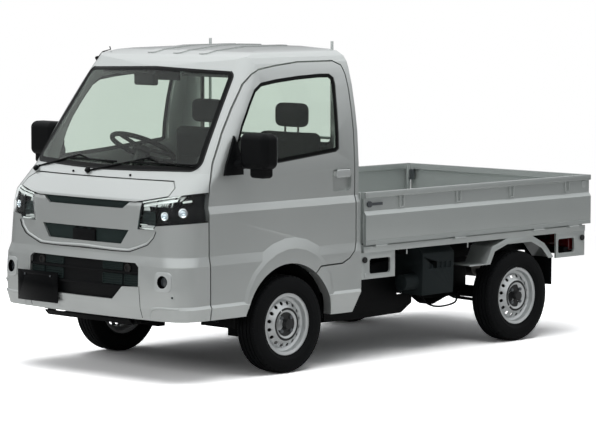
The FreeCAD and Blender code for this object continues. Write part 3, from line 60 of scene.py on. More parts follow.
def makeCamera():
    turn = math.radians(view["azimuth"])
    tilt = math.radians(view["elevation"])
    back = Vector((math.sin(turn) * math.cos(tilt), -math.cos(turn) * math.cos(tilt), math.sin(tilt)))
    right = Vector((math.cos(turn), math.sin(turn), 0))
    axes = Matrix((right, back.cross(right), back)).transposed().to_4x4()
    roll = Matrix.Rotation(math.radians(view["roll"]), 4, "Z")
    width, height = view["frame"]
    data = bpy.data.cameras.new("camera")
    data.sensor_fit = "HORIZONTAL"
    data.lens = view["focalPixels"] / width * data.sensor_width
    data.shift_x = (width / 2 - view["centrePixels"][0]) / width
    data.shift_y = (view["centrePixels"][1] - height / 2) / width
    data.clip_end = view["reach"]
    camera = plainPiece("camera", data)
    camera.matrix_world = Matrix.Translation(view["place"]) @ axes @ roll
    bpy.context.scene.camera = camera


def linear(code):
    # sRGB hex to the linear values that the shaders take
    parts = [int(code[i:i + 2], 16) / 255 for i in (1, 3, 5)]
    return [p / 12.92 if p <= 0.04045 else ((p + 0.055) / 1.055) ** 2.4 for p in parts] + [1.0]


def addNode(tree, kind, values={}, links={}, **settings):
    # One shader node with its settings, socket values and incoming links
    node = tree.nodes.new("ShaderNode" + kind)
    for name, value in settings.items():
        setattr(node, name, value)
    for name, value in values.items():
        node.inputs[name].default_value = value
    for name, socket in links.items():
        tree.links.new(socket, node.inputs[name])
    return node


def startMaterial(name):
    made = bpy.data.materials.new(name)
    made.use_nodes = True
    made.node_tree.nodes.clear()
    return made, made.node_tree


def mottled(tree, dark, light, scale, detail=3.0):
    # A slow change between two colours, as dust, age and casting give; 6 and 7 are the colour sockets
    place = addNode(tree, "TexCoord")
    noise = addNode(tree, "TexNoise", {"Scale": scale, "Detail": detail}, {"Vector": place.outputs["Object"]})
    mix = addNode(tree, "Mix", {6: linear(dark), 7: linear(light)}, {0: noise.outputs["Fac"]}, data_type="RGBA")
    return place, mix.outputs[2]


def grainBump(tree, place, scale, distance, strength=0.6, detail=2.0):
    # Fine relief of a moulded or sprayed surface
    grain = addNode(tree, "TexNoise", {"Scale": scale, "Detail": detail}, {"Vector": place.outputs["Object"]})
    bump = addNode(tree, "Bump", {"Strength": strength, "Distance": distance}, {"Height": grain.outputs["Fac"]})
    return bump.outputs["Normal"]


def surface(name, dark, light, roughness, metallic=0.0, coat=0.0, shine=0.5, patch=3.0, grain=600.0, relief=0.0001):
    made, tree = startMaterial(name)
    place, colour = mottled(tree, dark, light, patch)
    normal = grainBump(tree, place, grain, relief)
    shader = addNode(tree, "BsdfPrincipled",
                     {"Roughness": roughness, "Metallic": metallic, "Coat Weight": coat, "Coat Roughness": 0.04,
                      "Specular IOR Level": shine}, {"Base Color": colour, "Normal": normal})
    addNode(tree, "OutputMaterial", {}, {"Surface": shader.outputs["BSDF"]})
    return made


def glass(name, tint, ior):
    made, tree = startMaterial(name)
    shader = addNode(tree, "BsdfPrincipled", {"Base Color": linear(tint), "Roughness": 0.0,
                                              "Transmission Weight": 1.0, "IOR": ior})
    addNode(tree, "OutputMaterial", {}, {"Surface": shader.outputs["BSDF"]})
    return made


# Finishes: the material's name, the record's slot, dark and light colour, roughness, metal, coat and shine, then
# the noise scales of patches and grain and the grain's depth in metres; a glass has a tint and its index
finishes = {
    # Silver base coat with aluminium flakes under clear lacquer, which softens the reflections
    "body_paint": ("silverPaint", "body_paint", "#bfc3c1", "#c5c9c7", 0.34, 0.68, 0.8, 0.5, 1.5, 900, 0.00003),
    "bed_paint": ("bedPaint", "bed_paint", "#b9bebc", "#c1c6c4", 0.38, 0.62, 0.5, 0.5, 1.5, 900, 0.00005),
    "bezelSilver": ("bezelPaint", "body_paint", "#bfc3c2", "#c8cccb", 0.3, 0.4, 0.8),
    "wheel_paint": ("wheelSilver", "wheel_paint", "#c6c9c9", "#d0d3d3", 0.34, 0.6, 0.4),
    # Dipped black chassis paint, dull with road dust
    "frame_paint": ("chassisPaint", "frame_paint", "#08090a", "#0e0f0f", 0.6, 0, 0, 0.1),
    # Moulded polypropylene with a leather grain, grey where light grazes it
    "black_plastic": ("grainedPolypropylene", "black_plastic", "#0a0b0c", "#0f1011", 0.5, 0, 0, 0.1, 4, 900, 0.0002),
    "insertGrey": ("insertPolypropylene", "black_plastic", "#1f2827", "#26302f", 0.5, 0, 0, 0.1, 4, 900, 0.0002),
    "boxGrey": ("boxPolypropylene", "black_plastic", "#23292a", "#2b3132", 0.55, 0, 0, 0.1, 4, 900, 0.0002),
    "capBlack": ("hubCapPlastic", "black_plastic", "#0d0e0f", "#141516", 0.45),
    "trim_grey": ("dashPolypropylene", "trim_grey", "#232625", "#2c2f2e", 0.6, 0, 0, 0.5, 6, 800, 0.0002),
    "doorTrim": ("doorTrimPanel", "trim_grey", "#3a3d3c", "#454847", 0.7, 0, 0, 0.5, 6, 700, 0.0002),
    # Polished black behind the lenses and fired on to the edges of the glass
    "gloss_black": ("glossBlackAcrylic", "gloss_black", "#060708", "#08090a", 0.16, 0, 0, 0.1),
    "frit": ("ceramicFrit", "gloss_black", "#0a0b0b", "#0d0e0e", 0.3, 0, 0, 0.1),
    # Rubber, matt and faintly grey with dust, and woven cloth, which takes no shine
    "tyre": ("tyreRubber", "tyre", "#0e0f10", "#141516", 0.68, 0, 0, 0.1, 9, 700, 0.0002),
    "rubber": ("weatherstripRubber", "black_plastic", "#0b0c0c", "#111212", 0.62),
    "seat_cloth": ("seatCloth", "seat_cloth", "#17181a", "#212224", 0.95),
    # Iron as cast, brown-grey and rough, and plated or drawn steel
    "cast_iron": ("castIron", "cast_iron", "#252423", "#353331", 0.7, 0.5, 0, 0.5, 20, 400, 0.0005),
    "drumIron": ("drumIron", "cast_iron", "#2a2726", "#3a3634", 0.75, 0.4, 0, 0.5, 20, 400, 0.0004),
    "steel": ("exhaustSteel", "steel", "#6b6864", "#7d7a76", 0.4, 0.9),
    "nutZinc": ("zincNuts", "steel", "#5d6063", "#75797c", 0.35, 0.9),
    "chrome": ("reflectorChrome", "steel", "#d5d8da", "#dfe2e4", 0.08, 1),
    "mirrorGlass": ("mirrorSilver", "steel", "#c9ced0", "#d2d6d8", 0.03, 1),
    # Moulded lenses, whose fine ribs break up the light
    "lamp_red": ("redLens", "lamp_red", "#4c0a0d", "#5e0f12", 0.08, 0, 0.6),
    "lampStop": ("stopLens", "lamp_red", "#7d0b0e", "#8e1013", 0.1, 0, 0.8, 0.5, 3, 260, 0.0006),
    "amber": ("amberLens", "lamp_lens", "#b8651a", "#c9752a", 0.12, 0, 0.8, 0.5, 3, 260, 0.0006),
    "lampClear": ("clearRibbedLens", "lamp_lens", "#aab0b2", "#b8bdbf", 0.12, 0, 0.8, 0.5, 3, 260, 0.0006),
    "fogGlass": ("fogLens", "lamp_lens", "#303437", "#3b4043", 0.06, 0, 0.8),
    # Light-guide plastic painted near-white so the unlit headlamp reads as lit: a painted glow
    "paintedGlowBar": ("lightGuide", "lamp_lens", "#cfd4d0", "#dde1dd", 0.2, 0, 0.6),
    # Glass, green where it is thick; a low index keeps what is behind it clear
    "glass_green": ("greenGlass", "glass_green", "#dde6df", 1.28),
    "lamp_lens": ("lampLens", "lamp_lens", "#f2f5f5", 1.15),
    "domeGlass": ("projectorGlass", "lamp_lens", "#dfe8ee", 1.5),
}


def makeMaterials():
    made = {}
    for key, (name, slot, *look) in finishes.items():
        made[key] = glass(name, *look) if len(look) == 2 else surface(name, *look)
    return made


slotOf = {row["node"]: row["material_slot"] for row in frame["record"]["subparts"]}
bodyOf = {node: body for body, group in frame["record"]["behaviour"]["bodies"].items() for node in group}


def dressFrame(made):
    for node, slot in slotOf.items():
        nodes[node].data.materials.clear()
        nodes[node].data.materials.append(made[slot])


def choose(piece=None):
    # Everything deselected, then only this piece selected
    bpy.ops.object.select_all(action="DESELECT")
    if piece:
        piece.select_set(True)
        bpy.context.view_layer.objects.active = piece


def editAll(piece, mode="VERT"):
    # Into edit mode with the whole of one piece selected
    choose(piece)
    bpy.ops.object.mode_set(mode="EDIT")
    bpy.ops.mesh.select_mode(type=mode)
    bpy.ops.mesh.select_all(action="SELECT")


def backToObject():
    bpy.ops.object.mode_set(mode="OBJECT")


def editFaces(piece, test):
    # Into edit mode with only the faces selected that pass a test
    editAll(piece, "FACE")
    bpy.ops.mesh.select_all(action="DESELECT")
    backToObject()
    for face in piece.data.polygons:
        face.select = test(face)
    bpy.ops.object.mode_set(mode="EDIT")


# How close corners are joined, in metres
weld = 0.00002


def pressedCopy(node, flat=0.3):
    # The node's mesh as one joined skin, as a pressed or moulded piece has it; flat is in degrees
    piece = plainPiece(node + "_skin", nodes[node].data.copy())
    editAll(piece)
    bpy.ops.mesh.customdata_custom_splitnormals_clear()
    bpy.ops.mesh.remove_doubles(threshold=weld)
    bpy.ops.mesh.dissolve_limited(angle_limit=math.radians(flat))
    backToObject()
    return piece


def applyModifiers(piece):
    choose(piece)
    for modifier in list(piece.modifiers):
        bpy.ops.object.modifier_apply(modifier=modifier.name)


def foldsBetween(piece, low, high):
    # Marks the pressed lines of a panel, which bend by more than low and less than high degrees
    marks = bmesh.new()
    marks.from_mesh(piece.data)
    layer = marks.edges.layers.float.new("bevel_weight_edge")
    for edge in marks.edges:
        if len(edge.link_faces) == 2 and math.radians(low) < edge.calc_face_angle(0) < math.radians(high):
            edge[layer] = 1.0
    marks.to_mesh(piece.data)
    marks.free()


def softenFolds(piece, width, low=7, high=36, segments=3):
    foldsBetween(piece, low, high)
    fold = piece.modifiers.new("fold", "BEVEL")
    fold.width = width
    fold.segments = segments
    fold.limit_method = "WEIGHT"
    applyModifiers(piece)


def roundEdges(piece, width, segments=2, angle=38):
    edge = piece.modifiers.new("edge", "BEVEL")
    edge.width = width
    edge.segments = segments
    edge.limit_method = "ANGLE"
    edge.angle_limit = math.radians(angle)
    applyModifiers(piece)


def smoothTo(piece, angle=32):
    choose(piece)
    bpy.ops.object.shade_smooth_by_angle(angle=math.radians(angle))


def paintWhere(piece, material, test):
    # A second finish on the faces whose middle passes the test
    piece.data.materials.append(material)
    index = len(piece.data.materials) - 1
    for face in piece.data.polygons:
        if test(face.center, face.normal):
            face.material_index = index


def paintWhole(piece, material, test):
    # The same, where every corner of a face has to pass
    corners = piece.data.vertices
    paintWhere(piece, material, lambda centre, normal: False)
    for face in piece.data.polygons:
        if all(test(corners[i].co, face.normal) for i in face.vertices):
            face.material_index = len(piece.data.materials) - 1


def standFor(piece, node):
    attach(piece, bodyOf[node])
    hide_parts(node)


def plainPiece(name, data):
    piece = bpy.data.objects.new(name, data)
    bpy.context.scene.collection.objects.link(piece)
    return piece


def keep(piece, material, body="root"):
    # A finished extra piece: its turns and scales go into the mesh, then it gets its finish and body
    choose(piece)
    bpy.ops.object.transform_apply(location=True, rotation=True, scale=True)
    if material:
        piece.data.materials.clear()
        piece.data.materials.append(material)
    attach(piece, body)
    return piece


def copyTo(piece, name, move=(0, 0, 0), mirrorX=False):
    # A copy with its own mesh, moved or mirrored left to right
    twin = plainPiece(name, piece.data.copy())
    twin.data.transform(Matrix.Translation(move))
    if mirrorX:
        twin.data.transform(Matrix.Scale(-1, 4, (1, 0, 0)))
        twin.data.flip_normals()
    return twin


def keepPair(piece, material, body="root"):
    # The same for a piece of the left side, with its mirrored twin on the right
    keep(piece, material, body)
    twin = copyTo(piece, piece.name.replace("left", "right"), mirrorX=True)
    return piece, keep(twin, None, body.replace("left", "right"))


def startBlock(name, low, high, bevel=0.0, segments=3, smooth=40):
    # A cube pulled to its size, with rounded edges
    choose()
    bpy.ops.mesh.primitive_cube_add(size=1, location=[(a + b) / 2 for a, b in zip(low, high)])
    piece = bpy.context.object
    piece.name = name
    piece.scale = [b - a for a, b in zip(low, high)]
    bpy.ops.object.transform_apply(location=True, rotation=True, scale=True)
    if bevel:
        editAll(piece, "EDGE")
        bpy.ops.mesh.bevel(offset=bevel, segments=segments, affect="EDGES")
        backToObject()
        smoothTo(piece, smooth)
    return piece


def startRound(name, place, axis, radius, height, sides=32, bevel=0.0, smooth=40):
    # A cylinder along an axis, its end facing the axis rounded
    choose()
    turn = Vector(axis).to_track_quat("Z", "Y").to_euler()
    bpy.ops.mesh.primitive_cylinder_add(vertices=sides, radius=radius, depth=height, location=place, rotation=turn)
    piece = bpy.context.object
    piece.name = name
    if bevel:
        roundEdges(piece, bevel, segments=3, angle=50)
    smoothTo(piece, smooth)
    return piece


def tubeAlong(name, points, radius, closed=False, resolution=3, smooth=60):
    # A bead or wire: a curve through the points with a round section, made into a mesh
    path = bpy.data.curves.new(name, "CURVE")
    path.dimensions = "3D"
    path.bevel_depth = radius
    path.bevel_resolution = resolution
    path.use_fill_caps = True
    line = path.splines.new("POLY")
    line.points.add(len(points) - 1)
    for knot, point in zip(line.points, points):
        knot.co = (*point, 1)
    line.use_cyclic_u = closed
    choose(plainPiece(name, path))
    bpy.ops.object.convert(target="MESH")
    piece = bpy.context.object
    smoothTo(piece, smooth)
    return piece


def treeOf(mesh):
    solid = bmesh.new()
    solid.from_mesh(mesh)
    tree = BVHTree.FromBMesh(solid)
    solid.free()
    return tree


trees = {}


def onto(node, start, direction):
    # Where a ray meets a node, and which way the surface faces there
    if node not in trees:
        trees[node] = treeOf(nodes[node].data)
    place, normal, index, reach = trees[node].ray_cast(Vector(start), Vector(direction).normalized())
    return place, normal


def spread(points, step, closed):
    # Evenly spaced points along a line of points
    line = [Vector(p) for p in points] + ([Vector(points[0])] if closed else [])
    lengths = [(b - a).length for a, b in zip(line, line[1:])]
    total = sum(lengths)
    count = max(2, round(total / step))
    out, reach, index = [], 0.0, 0
    for k in range(count if closed else count + 1):
        goal = total * k / count
        while index < len(lengths) - 1 and reach + lengths[index] < goal:
            reach += lengths[index]
            index += 1
        share = (goal - reach) / max(lengths[index], 1e-9)
        out.append(line[index].lerp(line[index + 1], min(1.0, share)))
    return out


bothSides = ((1, "left"), (-1, "right"))


# Ways along the truck, and where rays towards it start, in metres
ahead, above = -3.0, 2.0
forward, backward, upward, downward = (0, -1, 0), (0, 1, 0), (0, 0, 1), (0, 0, -1)


# Round parts: radius, depth, rounded edge and how far the middle stands off its place in metres, sides, finish
roundParts = {
    "sensor_button": (0.011, 0.012, 0.002, 0.0, 32, "body_paint"),
    "sensor_face": (0.00605, 0.003, 0.0008, 0.0055, 24, "insertGrey"),
    "washer_nozzle": (0.0065, 0.008, 0.0025, 0.003, 20, "black_plastic"),
    "wiper_boss": (0.016, 0.020, 0.006, 0.009, 28, "black_plastic"),
    "buffer": (0.017, 0.014, 0.005, 0.005, 28, "rubber"),
    "panel_boss": (0.014, 0.008, 0.003, 0.003, 28, "bed_paint"),
    "gate_catch": (0.022, 0.006, 0.002, 0.001, 32, "bezelSilver"),
    "floor_bolt": (0.009, 0.003, 0.001, 0.001, 24, "bed_paint"),
    "tow_pocket": (0.01368, 0.002, 0, -0.0015, 32, "rubber"),
    "plate_bolt": (0.0065, 0.004, 0.0008, 0, 6, "nutZinc"),
    "antenna_foot": (0.011, 0.020, 0.004, 0, 20, "black_plastic"),
    "headrest_post": (0.006, 0.06, 0, 0, 16, "steel"),
}


def putRound(made, kind, suffix, place, axis, body="root"):
    # A round part from the table, with its axis
    radius, depth, edge, lift, sides, finish = roundParts[kind]
    middle = Vector(place) + Vector(axis) * lift
    return keep(startRound(kind + suffix, middle, axis, radius, depth, sides, edge), made[finish], body)


def setRound(made, kind, suffix, node, start, direction, body="root"):
    # The same on a node, where a ray meets it
    return putRound(made, kind, suffix, *onto(node, start, direction), body)


def smoothLine(points, step, parts=8):
    # A soft curve through a few points
    line = [Vector(p) for p in points]
    line = [line[0]] + line + [line[-1]]
    out = []
    for a, b, c, d in zip(line, line[1:], line[2:], line[3:]):
        for k in range(parts):
            t = k / parts
            bend = (2 * a - 5 * b + 4 * c - d) * t ** 2 + (3 * b - a - 3 * c + d) * t ** 3
            out.append((2 * b + (c - a) * t + bend) / 2)
    return spread(out + [line[-1]], step, False)


def skinOutline(node, facing, step, towards=0.6):
    # The outer edge of the side of a pane that faces a direction
    skin = bmesh.new()
    skin.from_mesh(nodes[node].data)
    bmesh.ops.remove_doubles(skin, verts=skin.verts, dist=weld)
    facing = Vector(facing).normalized()
    away = [face for face in skin.faces if face.normal.dot(facing) < towards]
    bmesh.ops.delete(skin, geom=away, context="FACES")
    tree = BVHTree.FromBMesh(skin)
    rims = {e for e in skin.edges if len(e.link_faces) == 1}
    loops = []
    while rims:
        edge = rims.pop()
        start, here = edge.verts
        loop = [start.co.copy(), here.co.copy()]
        while True:
            following = next((e for e in here.link_edges if e in rims), None)
            if following is None:
                break
            rims.discard(following)
            here = following.other_vert(here)
            loop.append(here.co.copy())
        loops.append(loop[:-1])
    skin.free()
    longest = max(loops, key=lambda l: sum((b - a).length for a, b in zip(l, l[1:])))
    return spread(longest, step, True), tree


def ringOn(name, outline, tree, facing, rows, lift, reach=2):
    # A flat band that follows a pane inside its outline
    count = len(outline)
    middle = sum(outline, Vector()) / count
    facing = Vector(facing).normalized()
    band = bmesh.new()
    grid = []
    for k, point in enumerate(outline):
        along = outline[(k + reach) % count] - outline[(k - reach) % count]
        inward = along.cross(facing).normalized()
        if inward.dot(middle - point) < 0:
            inward.negate()
        row = []
        for offset in rows:
            place, normal, index, distance = tree.find_nearest(point + inward * offset)
            if normal.dot(facing) < 0:
                normal = -normal
            row.append(band.verts.new(place + normal * lift))
        grid.append(row)
    for k in range(count):
        for j in range(len(rows) - 1):
            a, b = grid[k], grid[(k + 1) % count]
            band.faces.new((a[j], b[j], b[j + 1], a[j + 1]))
    for face in band.faces:
        face.normal_update()
        if face.normal.dot(facing) < 0:
            face.normal_flip()
    made = bpy.data.meshes.new(name)
    band.to_mesh(made)
    band.free()
    piece = plainPiece(name, made)
    smoothTo(piece, 40)
    return piece


# Nodes by the rounded edge of the pressed, moulded or cast piece and by that of its pressed lines, in metres
edgeRadius = {
    (0.002, 0.008): "cab_back", (0.002, 0.010): "cab_roof cab_front hood", (0.004, 0.007): "front_bumper",
    (0.002, 0.006): "cab_sills door_left door_right", (0.002, 0.007): "front_mask",
    (0.0012, 0.002): "side_gate_left side_gate_right tailgate", (0.0008, 0): "front_grille lamp_bowls",
    (0.001, 0): "bed_floor guard_frame bed_side_panels number_plate mud_flaps",
    (0.0012, 0): "fog_lamps rim_front_left rim_front_right rim_rear_left rim_rear_right",
    (0.0015, 0): "mirror_left mirror_right", (0.004, 0): "battery_box dashboard",
    (0.002, 0): "cab_floor knuckle_left knuckle_right fuel_tank steering_wheel",
    (0.003, 0): "ladder_frame", (0.006, 0): "engine",
}


# The nodes' visible copies, by node
skins = {}


def pressPanels(made, foldedSmooth=20):
    for (width, fold), group in edgeRadius.items():
        for node in group.split():
            piece = pressedCopy(node)
            if fold:
                softenFolds(piece, fold)
            roundEdges(piece, width)
            smoothTo(piece, foldedSmooth if fold else 32)
            standFor(piece, node)
            skins[node] = piece
    paintWhere(skins["cab_floor"], made["frame_paint"], lambda centre, normal: True)


wheels = ("front_left", "front_right", "rear_left", "rear_right")


# Wheels: what lies where on a rim, from its middle plane and its axle, in metres
wheelFinish = {
    "capRadius": 0.029, "nutCircle": 0.050, "nutRadius": 0.0115, "nutProud": 0.004, "face": 0.0405,
    "drumFace": 0.0392, "drumRadius": 0.0962,
}


def isCap(x, y, z):
    return math.hypot(y, z) < wheelFinish["capRadius"] and x > wheelFinish["face"]


def isNut(x, y, z):
    turn = wheelFinish["nutCircle"] / math.sqrt(2)
    return (math.hypot(abs(y) - turn, abs(z) - turn) < wheelFinish["nutRadius"]
            and x > wheelFinish["face"] + wheelFinish["nutProud"])


def isDrum(x, y, z):
    return x < wheelFinish["drumFace"] and math.hypot(y, z) < wheelFinish["drumRadius"]


def finishWheels(made):
    for wheel in wheels:
        low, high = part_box("tyre_" + wheel)
        middle = (Vector(low) + Vector(high)) / 2
        outward = math.copysign(1, middle.x)
        for finish, test in (("drumIron", isDrum), ("capBlack", isCap), ("nutZinc", isNut)):
            paintWhere(skins["rim_" + wheel], made[finish], lambda centre, normal: test(
                (centre.x - middle.x) * outward, centre.y - middle.y, centre.z - middle.z))


# Grille: its grey inserts, and each louvre as near and far side, base and top, in metres
grilleFinish = {
    "slotBase": 0.700, "cameraHalf": 0.0885, "cameraTop": 0.79,
    "louvres": [(0.157, 0.308, 0.585, 0.630), (0.157, 0.308, 0.510, 0.568), (0.318, 0.428, 0.510, 0.568)],
}


def finishFront(made):
    def isInsert(centre, normal):
        x, z = abs(centre.x), centre.z
        camera = x < grilleFinish["cameraHalf"] and z < grilleFinish["cameraTop"]
        return (z > grilleFinish["slotBase"] and not camera) or any(
            near < x < far and base < z < top for near, far, base, top in grilleFinish["louvres"])

    paintWhere(skins["front_grille"], made["insertGrey"], isInsert)


# Fog lamps: their middle, and how far the lens and the bezel reach from it, in metres
fogLamp = {"place": 0.606, "height": 0.545, "lensReach": 0.0285, "bezelReach": 0.034}


def finishFogLamps(made):
    piece = skins["fog_lamps"]
    for material in ("bezelSilver", "gloss_black", "fogGlass"):
        piece.data.materials.append(made[material])
    for face in piece.data.polygons:
        middle = Vector((math.copysign(fogLamp["place"], face.center.x), fogLamp["height"]))
        corners = [piece.data.vertices[i].co for i in face.vertices]
        reach = max((Vector((corner.x, corner.z)) - middle).length for corner in corners)
        face.material_index = 1 if reach > fogLamp["bezelReach"] else 2 if reach > fogLamp["lensReach"] else 3


# Tyre: half of its section as (from the middle plane, radius), its tread grooves and shoulder notches,
# in metres; the zigzag and the notches lie between two places across, outside a radius
tyre = {
    "steps": 240, "weld": 0.00005, "smooth": 30,
    "zigzag": 0.0016, "zigzags": 48, "zigzagAcross": (0.008, 0.0425), "zigzagRadius": 0.2565,
    "notchEvery": 5, "notchShift": 2, "notchDepth": 0.0035, "notchAcross": (0.0500, 0.0670), "notchRadius": 0.2500,
    "half": [
        (0.0450, 0.1527), (0.0479, 0.1660), (0.0624, 0.1700), (0.0632, 0.1722), (0.0628, 0.1745), (0.0665, 0.1800),
        (0.0700, 0.1900), (0.0708, 0.1908), (0.0706, 0.1920), (0.0720, 0.2010), (0.0725, 0.2105), (0.0720, 0.2200),
        (0.0703, 0.2306), (0.0708, 0.2314), (0.0702, 0.2324), (0.0667, 0.2462), (0.0640, 0.2530), (0.0609, 0.2573),
        (0.0575, 0.2598), (0.0536, 0.2612), (0.0460, 0.2620), (0.0420, 0.2624), (0.0412, 0.2570), (0.0358, 0.2570),
        (0.0350, 0.2628), (0.0290, 0.2632), (0.0185, 0.2636), (0.0177, 0.2580), (0.0113, 0.2580), (0.0105, 0.2639),
        (0.0050, 0.2640)],
    "inside": [(0.0380, 0.1527), (0.0400, 0.1680), (0.0600, 0.1900), (0.0630, 0.2150), (0.0560, 0.2440),
               (0.0300, 0.2500)],
}


def makeTyres(made):
    half, lining = tyre["half"], tyre["inside"]
    section = half + [(-x, r) for x, r in reversed(half)] + [(-x, r) for x, r in lining] + lining[::-1]
    choose()
    bpy.ops.mesh.primitive_circle_add(vertices=len(section), radius=1)
    model = bpy.context.object
    model.name = "tyre_model"
    for vertex, (x, r) in zip(model.data.vertices, section):
        vertex.co = (x, 0, r)
    editAll(model)
    bpy.ops.mesh.spin(steps=tyre["steps"], angle=2 * math.pi, center=(0, 0, 0), axis=(1, 0, 0))
    bpy.ops.mesh.select_all(action="SELECT")
    bpy.ops.mesh.remove_doubles(threshold=tyre["weld"])
    bpy.ops.mesh.normals_make_consistent(inside=False)
    backToObject()
    near, far = tyre["zigzagAcross"]
    for vertex in model.data.vertices:
        x, y, z = vertex.co
        if math.hypot(y, z) > tyre["zigzagRadius"] and near < abs(x) < far:
            wave = abs((math.atan2(y, z) / (2 * math.pi) * tyre["zigzags"]) % 1 - 0.5) * 4 - 1
            vertex.co.x += wave * tyre["zigzag"]

    def isNotch(face):
        x, y, z = face.center
        index = int((math.atan2(y, z) + math.pi) / (2 * math.pi / tyre["steps"]))
        first, last = tyre["notchAcross"]
        return (first < abs(x) < last and math.hypot(y, z) > tyre["notchRadius"]
                and index % tyre["notchEvery"] == (0 if x > 0 else tyre["notchShift"]))

    editFaces(model, isNotch)
    bpy.ops.mesh.extrude_region_shrink_fatten(TRANSFORM_OT_shrink_fatten={"value": -tyre["notchDepth"]})
    backToObject()
    smoothTo(model, tyre["smooth"])
    for wheel in wheels:
        low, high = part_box("tyre_" + wheel)
        piece = copyTo(model, "tyre_" + wheel + "_rubber", [(a + b) / 2 for a, b in zip(low, high)])
        piece.data.materials.append(made["tyre"])
        standFor(piece, "tyre_" + wheel)
    bpy.data.objects.remove(model)


# Panes: which way each faces, its black border and its rubber bead, in metres
panes = {
    "windshield": {"facing": (0, -0.77, 0.64), "rows": (0, 0.008, 0.018, 0.028), "bead": 0.0045},
    "rear_window": {"facing": (0, 1, 0), "rows": (0, 0.008, 0.018), "bead": 0.006},
    "door_glass_left": {"facing": (1, 0, 0.15), "rows": (0, 0.011, 0.022), "bead": 0.005},
    "door_glass_right": {"facing": (-1, 0, 0.15), "rows": (0, 0.011, 0.022), "bead": 0.005},
}


def borderPanes(made, borderStep=0.008, borderLift=0.0006, beadStep=0.012):
    for node, pane in panes.items():
        outline, tree = skinOutline(node, pane["facing"], borderStep)
        band = ringOn(node + "_border", outline, tree, pane["facing"], pane["rows"], borderLift)
        keep(band, made["frit"], bodyOf[node])
        path = spread(outline, beadStep, True)
        bead = tubeAlong(node + "_bead", path, pane["bead"], closed=True, resolution=2)
        keep(bead, made["rubber"], bodyOf[node])


# Front: pressed lips, seams, nozzles and small parts, as (x, z) or (x, y); each kind of line has its node,
# radius, how deep it sinks and finish; in metres
front = {
    "maskEdge": [(0.545, 0.803), (0.530, 0.770), (0.489, 0.731), (0.418, 0.706), (0.358, 0.688), (0.238, 0.686),
                 (0, 0.688)],
    "maskCentre": (0, 0.86), "maskInside": 0.011,
    "seamLine": [(0.442, 0.512), (0.443, 0.45), (0.444, 0.39), (0.445, 0.345)],
    "cornerLip": [(0.500, 0.350), (0.515, 0.385), (0.530, 0.399), (0.560, 0.404), (0.60, 0.406), (0.65, 0.407),
                  (0.69, 0.407)],
    "maskLip": ("front_mask", 0.0105, 0.004725, "body_paint"), "maskGap": ("front_bumper", 0.0026, 0, "rubber"),
    "corner": ("front_bumper", 0.009, 0.0045, "body_paint"), "seam": ("front_bumper", 0.0019, 0.0006, "rubber"),
    "button": (0.663, 0.467), "nozzle": (0.228, -1.536), "wiperBosses": [(-0.108, -1.535), (-0.575, -1.500)],
    "towEye": (0.343, 0.600), "eyeRadius": 0.019, "eyeWire": 0.005, "eyeProud": 0.004,
    "plateBolts": [(-0.448, -1.6990, 0.517), (-0.238, -1.6990, 0.517)],
}


def lineOn(node, flat, sink=0.0, step=0.012):
    # Points along (x, z) pairs, carried back onto a node from the front
    hits = [onto(node, point, backward) for point in spread([(x, ahead, z) for x, z in flat], step, False)]
    return [place - normal * sink for place, normal in hits if place is not None]


def flipped(flat):
    return [(-x, z) for x, z in flat]


def mirrored(flat):
    return list(flat) + flipped(flat[:-1])[::-1]


def detailFront(made):
    edge = [Vector(point) for point in front["maskEdge"]]
    centre = Vector(front["maskCentre"])
    inner = [tuple(p + (centre - p).normalized() * front["maskInside"]) for p in edge]
    for name, kind, flat in (
            ("mask_lip", "maskLip", mirrored(inner)), ("mask_gap", "maskGap", mirrored(front["maskEdge"])),
            ("corner_lip_left", "corner", front["cornerLip"]),
            ("corner_lip_right", "corner", flipped(front["cornerLip"])),
            ("bumper_seam_left", "seam", front["seamLine"]),
            ("bumper_seam_right", "seam", flipped(front["seamLine"]))):
        node, radius, sink, finish = front[kind]
        keep(tubeAlong(name, lineOn(node, flat, sink), radius), made[finish])
    x, z = front["button"]
    for kind in ("sensor_button", "sensor_face"):
        piece = setRound(made, kind, "_left", "front_bumper", (x, ahead, z), backward)
        keep(copyTo(piece, kind + "_right", mirrorX=True), None)
    for sign, side in bothSides:
        x, y = front["nozzle"]
        setRound(made, "washer_nozzle", "_" + side, "cab_front", (x * sign, y, above), downward)
        x, z = front["towEye"]
        place, normal = onto("front_grille", (x * sign, ahead, z), backward)
        choose()
        bpy.ops.mesh.primitive_torus_add(
            major_radius=front["eyeRadius"], minor_radius=front["eyeWire"], major_segments=40, minor_segments=12,
            location=place - Vector((0, front["eyeProud"], 0)), rotation=(math.pi / 2, 0, 0))
        eye = bpy.context.object
        eye.name = "tow_eye_" + side
        smoothTo(eye, 60)
        keep(eye, made["cast_iron"])
        putRound(made, "tow_pocket", "_" + side, place, backward)
    for k, (x, y) in enumerate(front["wiperBosses"]):
        setRound(made, "wiper_boss", "_" + str(k), "cab_front", (x, y, above), downward)
    for k, place in enumerate(front["plateBolts"]):
        putRound(made, "plate_bolt", "_" + str(k), place, forward)


# Lamps: the left lamp's box in metres and its inner units as shares of it. A projector has its place, radius in
# metres and turn outward, the bar its start, end and height, the ribs their end, base and top
lamp = {
    "inner": 0.409, "reach": 0.345, "base": 0.809, "height": 0.197,
    "projectors": [(0.50, 0.38, 0.022, 0.3), (0.72, 0.47, 0.024, 0.6)], "cupLift": 0.004, "cupDepth": 0.012,
    "cupEdge": 0.0015, "cupFacing": 0.98, "cupWallShare": 0.18, "cupHollow": 0.004, "domeShare": 0.74,
    "guide": [(0.69, 0.74), (0.83, 0.80)], "guideRadius": 0.006,
    "bar": (0.08, 0.68, 0.57), "barSlope": 0.3, "barMargin": 0.02, "barFacing": -0.3,
    # The lowest ribs, below a share of the lamp's height, take the same near-white as a painted highlight
    "ribs": (0.325, 0.02, 0.50), "ribFacing": -0.5, "highlightRibTop": 0.17,
}


def lampShare(point):
    return (abs(point.x) - lamp["inner"]) / lamp["reach"], (point.z - lamp["base"]) / lamp["height"]


